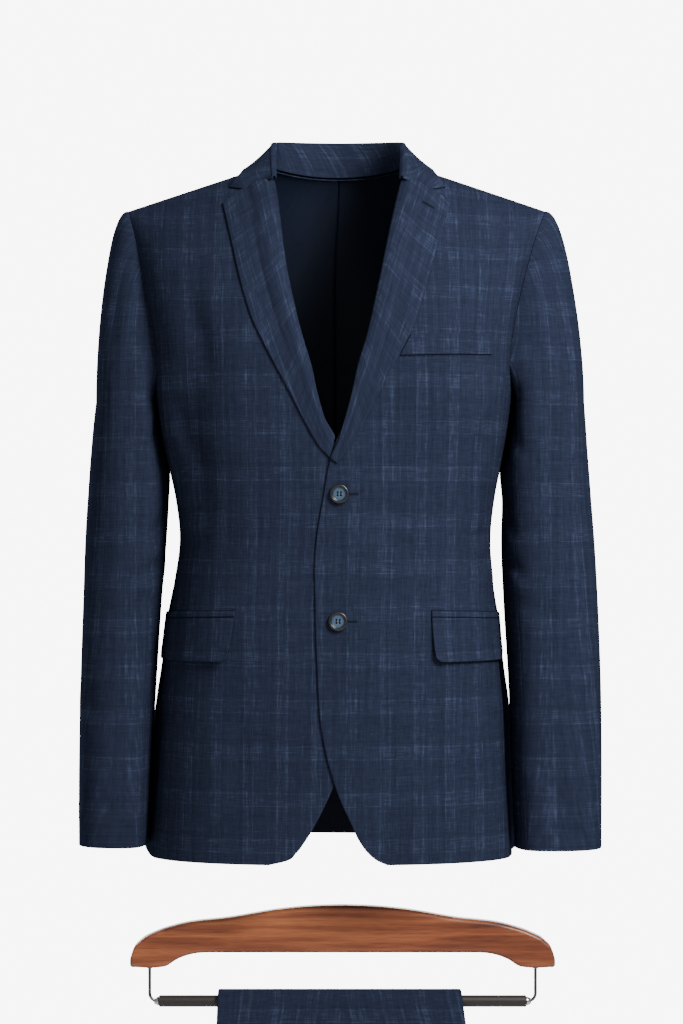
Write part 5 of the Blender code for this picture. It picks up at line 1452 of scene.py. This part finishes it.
FOLD_PLACES = np.unique(np.concatenate([
    -BACK_DROP - CLOTH_ARC + EDGE_STEPS, steps_between(-BACK_DROP - CLOTH_ARC, -0.02, 0.006),
    np.linspace(-0.02, 0.02, 24), steps_between(0.02, FRONT_DROP + CLOTH_ARC, 0.006),
    FRONT_DROP + CLOTH_ARC - EDGE_STEPS]))


def sway(x, along):
    """How far the hanging cloth waves outward from the rod's plane, more the lower it hangs."""
    hang = ease((np.abs(along) - 0.02) / 0.30)
    front = 0.0016 * np.sin(31 * x + 0.8) + 0.0012 * np.sin(58 * x - 5 * along + 2.0)
    back = 0.0019 * np.sin(27 * x + 2.6) + 0.0011 * np.sin(66 * x + 4 * along)
    return hang * (0.0030 + np.where(along > 0, front, back))


def puff(x, along):
    """How much thicker the pressed layers stand between the creases than pressed flat."""
    hang = ease((np.abs(along) - CLOTH_ARC) / 0.12)
    left, right = trouser_widths(along)
    across = np.clip((x - TROUSERS_X - left) / (right - left), 0, 1)
    return hang * 0.55 * np.sin(math.pi * across) ** 0.8 * (1 + 0.3 * np.sin(9 * along + 14 * x))


def over_rod(x, along, depth):
    """A place of the cloth this far out from the rod's surface, at this distance over the rod."""
    turn = np.clip(along / CLOTH_ARC, -1, 1) * math.pi / 2
    depth = depth * (1 + puff(x, along)) + sway(x, along)
    reach = ROD_RADIUS + LAYER + depth
    drop = np.maximum(np.abs(along) - CLOTH_ARC, 0)
    return point(x, BAR_Y - reach * np.sin(turn), ROD_Z + reach * np.cos(turn) - drop)


def section(corners, q):
    """A section's x and depth at places q from 0 to 1: straight runs between corners, which are
    (x of the turn's middle, direction of its far side, low depth, high depth, turns upward), or a
    plain (x, depth) at an end."""
    runs = []
    for corner in corners:
        if len(corner) == 2:
            runs.append(lambda t, c=corner: (c[0] + 0 * t, c[1] + 0 * t))
        else:
            middle, away, low, high, upward = corner
            size = (high - low) / 2
            runs.append(lambda t, m=middle, a=away, d=(low + high) / 2, r=size, u=upward: (
                m + a * r * np.cos(mix(-math.pi / 2, math.pi / 2, t)),
                d + u * r * np.sin(mix(-math.pi / 2, math.pi / 2, t))))
    turn_part = 0.07
    turns = sum(len(c) != 2 for c in corners)
    run_part = (1 - turns * turn_part) / (len(corners) - 1)
    x, depth, start = 0.0, 0.0, 0.0
    for k, (here, corner) in enumerate(zip(runs, corners)):
        if len(corner) != 2:
            t = np.clip((q - start) / turn_part, 0, 1)
            inside = (q >= start) & (q <= start + turn_part)
            found = here(t)
            x, depth = np.where(inside, found[0], x), np.where(inside, found[1], depth)
            start += turn_part
        if k < len(corners) - 1:
            t = np.clip((q - start) / run_part, 0, 1)
            inside = (q >= start - 1e-9) & (q <= start + run_part + 1e-9)
            a, b = here(1.0 + 0 * t), runs[k + 1](0 * t)
            x = np.where(inside, mix(a[0], b[0], t), x)
            depth = np.where(inside, mix(a[1], b[1], t), depth)
            start += run_part
    return x, depth


def pressed(name, along, corners, q, start, node):
    """A piece of the pressed trousers: its section's corners at each distance over the rod."""
    along = along[:, None]
    x, depth = section(corners(along), q[None, :])
    places = over_rod(x, along + 0 * x, depth)
    raised = over_rod(x, along + 0 * x, depth + 0.001) - places
    normals = unit(np.cross(np.gradient(places, axis=0), np.gradient(places, axis=1)))
    top = np.argmax(depth[0])
    normals *= np.sign(dot(normals[len(along) // 2, top], raised[len(along) // 2, top]))
    cut = np.stack([start + lengths(places, 1), along + 0 * x], -1)
    shell(name, places, normals, cut, TROUSER_WALL, node=node)


def leg(name, base, shift):
    """One leg pressed flat on its creases: a front panel round the front crease and a back panel
    round the back one."""
    low, high = base, base + LEG_LAYERS
    size = LEG_LAYERS / 2
    q = np.unique(np.concatenate([spread(60, 0.26), 0.5 + np.linspace(-0.035, 0.035, 13)]))
    for panel, column, away in (("front", 0, -1), ("back", 1, 1)):
        def corners(along, column=column, away=away):
            edges = trouser_widths(along)
            middle = TROUSERS_X + (edges[0] + edges[1]) / 2
            turn = TROUSERS_X + edges[column] + away * (shift - size)
            return [(middle, low), (turn, away, low, high, 1), (middle, high)]
        pressed(f"cloth_trouser_{panel}_{name}", FOLD_PLACES, corners, q, 0.02 * column,
                f"trouser_{panel}_{name}")
    if name == "right":
        low, high = high, low
    places = FRONT_DROP + CLOTH_ARC + WAISTBAND * spread(10, WAISTBAND)

    def corners(along):
        left, right = trouser_widths(FRONT_DROP + CLOTH_ARC + 0 * along)
        left, right = TROUSERS_X + left - shift - 0.0008, TROUSERS_X + right + shift + 0.0008
        middle, up = (left + right) / 2, 1 if high > low else -1
        size = LEG_LAYERS / 2
        ends = (min(low, high), max(low, high))
        return [(middle, low), (left + size, -1, *ends, up), (middle, high), (right - size, 1, *ends, -up),
                (middle, low)]
    q = np.unique(np.concatenate([spread(90, 0.45), np.linspace(0.2, 0.3, 17), np.linspace(0.7, 0.8, 17)]))
    pressed(f"cloth_waistband_{name}", places, corners, q, 0.0, f"waistband_{name}")


LOOP_WIDTH, LOOP_OVER, LOOP_SHORT = 0.0090, 0.0040, 0.0020


def belt_loops():
    for i, x in enumerate(BELT_LOOPS):
        along = FRONT_DROP + CLOTH_ARC + mix(-LOOP_OVER, WAISTBAND - LOOP_SHORT, spread(12, 0.04))
        depth = 2 * LEG_LAYERS + 2 * LAYER + TROUSER_WALL
        ends = (TROUSERS_X + x - LOOP_WIDTH / 2, depth), (TROUSERS_X + x + LOOP_WIDTH / 2, depth)
        pressed(f"cloth_belt_loop_{i + 1}", along, lambda a, e=ends: list(e), spread(8, LOOP_WIDTH), 0.0,
                f"belt_loop_{i + 1}")


def trousers():
    """The right leg lies on the rod and the left leg on it."""
    leg("right", 0.0, 0.0)
    leg("left", LEG_LAYERS + LAYER, 0.0012)
    belt_loops()


for each_side in (1, -1):
    front_panel(each_side)
    side_panel(each_side)
    back_panel(each_side)
    lapel(each_side)
    sleeves(each_side)
    pocket(each_side)
collar()
breast_welt()
buttons()
hanger()
trousers()


# ---------------------------------------------------------------- floor, light and camera

CAMERA_PLACE = (0.0030, -3.2500, -0.3838)
CAMERA_LENS = 109.86         # for a 36 mm sensor along the photograph's long side
FLOOR_DROP, FLOOR_HALF = 0.0005, 3.2
WORLD_LIGHT, SCREEN_LIGHT = 0.34, 8.0
SCREEN_EDGE = (13.5, 11.6)   # degrees from straight behind at which the bright screen starts and is full


def camera():
    data = bpy.data.cameras.new("camera")
    data.lens = CAMERA_LENS
    data.sensor_width = 36
    made = bpy.data.objects.new("camera", data)
    made.location = CAMERA_PLACE
    made.rotation_euler = (math.pi / 2, 0, 0)
    bpy.context.scene.collection.objects.link(made)
    bpy.context.scene.camera = made


def floor():
    z = cad_box[0][2] - FLOOR_DROP
    bm = bmesh.new()
    bmesh.ops.create_grid(bm, x_segments=2, y_segments=2, size=FLOOR_HALF)
    bmesh.ops.translate(bm, verts=bm.verts, vec=(0, 0, z))
    made, _, shader = new_material("pale_floor", 0.6, specular=0.2)
    shader.inputs["Base Color"].default_value = (0.80, 0.80, 0.79, 1)
    to_object("floor", bm, [made])


def area_light(name, place, target, size, power_watts):
    data = bpy.data.lights.new(name, "AREA")
    data.shape = "RECTANGLE"
    data.size, data.size_y = size
    data.energy = power_watts
    made = bpy.data.objects.new(name, data)
    made.location = place
    made.rotation_euler = (Vector(target) - Vector(place)).to_track_quat("-Z", "Y").to_euler()
    bpy.context.scene.collection.objects.link(made)


def lights():
    world = bpy.data.worlds.new("studio")
    world.use_nodes = True
    tree = world.node_tree
    sky = tree.nodes["Background"]
    sky.inputs[0].default_value = (1.0, 1.0, 1.0, 1)
    # a bright screen in the surroundings straight behind the suit, and soft grey light elsewhere
    behind = add(tree, "VectorMath", {0: add(tree, "TexCoord").outputs["Generated"], 1: (0, 1, 0)},
                 operation="DOT_PRODUCT").outputs["Value"]
    low, high = (math.cos(math.radians(a)) for a in SCREEN_EDGE)
    level = add(tree, "MapRange", {0: behind, 1: low, 2: high, 3: WORLD_LIGHT, 4: SCREEN_LIGHT},
                interpolation_type="SMOOTHSTEP").outputs[0]
    tree.links.new(level, sky.inputs[1])
    bpy.context.scene.world = world
    area_light("key", (1.15, -1.55, 0.85), (0.06, 0.0, -0.22), (0.7, 1.1), 93)
    area_light("fill", (-0.3, -3.1, 0.2), (0.0, 0.0, -0.4), (1.2, 1.6), 6)
    area_light("back_left", (-1.9, 2.2, 0.9), (0.0, 0.0, -0.4), (0.6, 1.2), 75)
    area_light("back_right", (1.1, 2.9, 0.4), (0.0, 0.0, -0.5), (1.0, 1.6), 16)


camera()
floor()
lights()
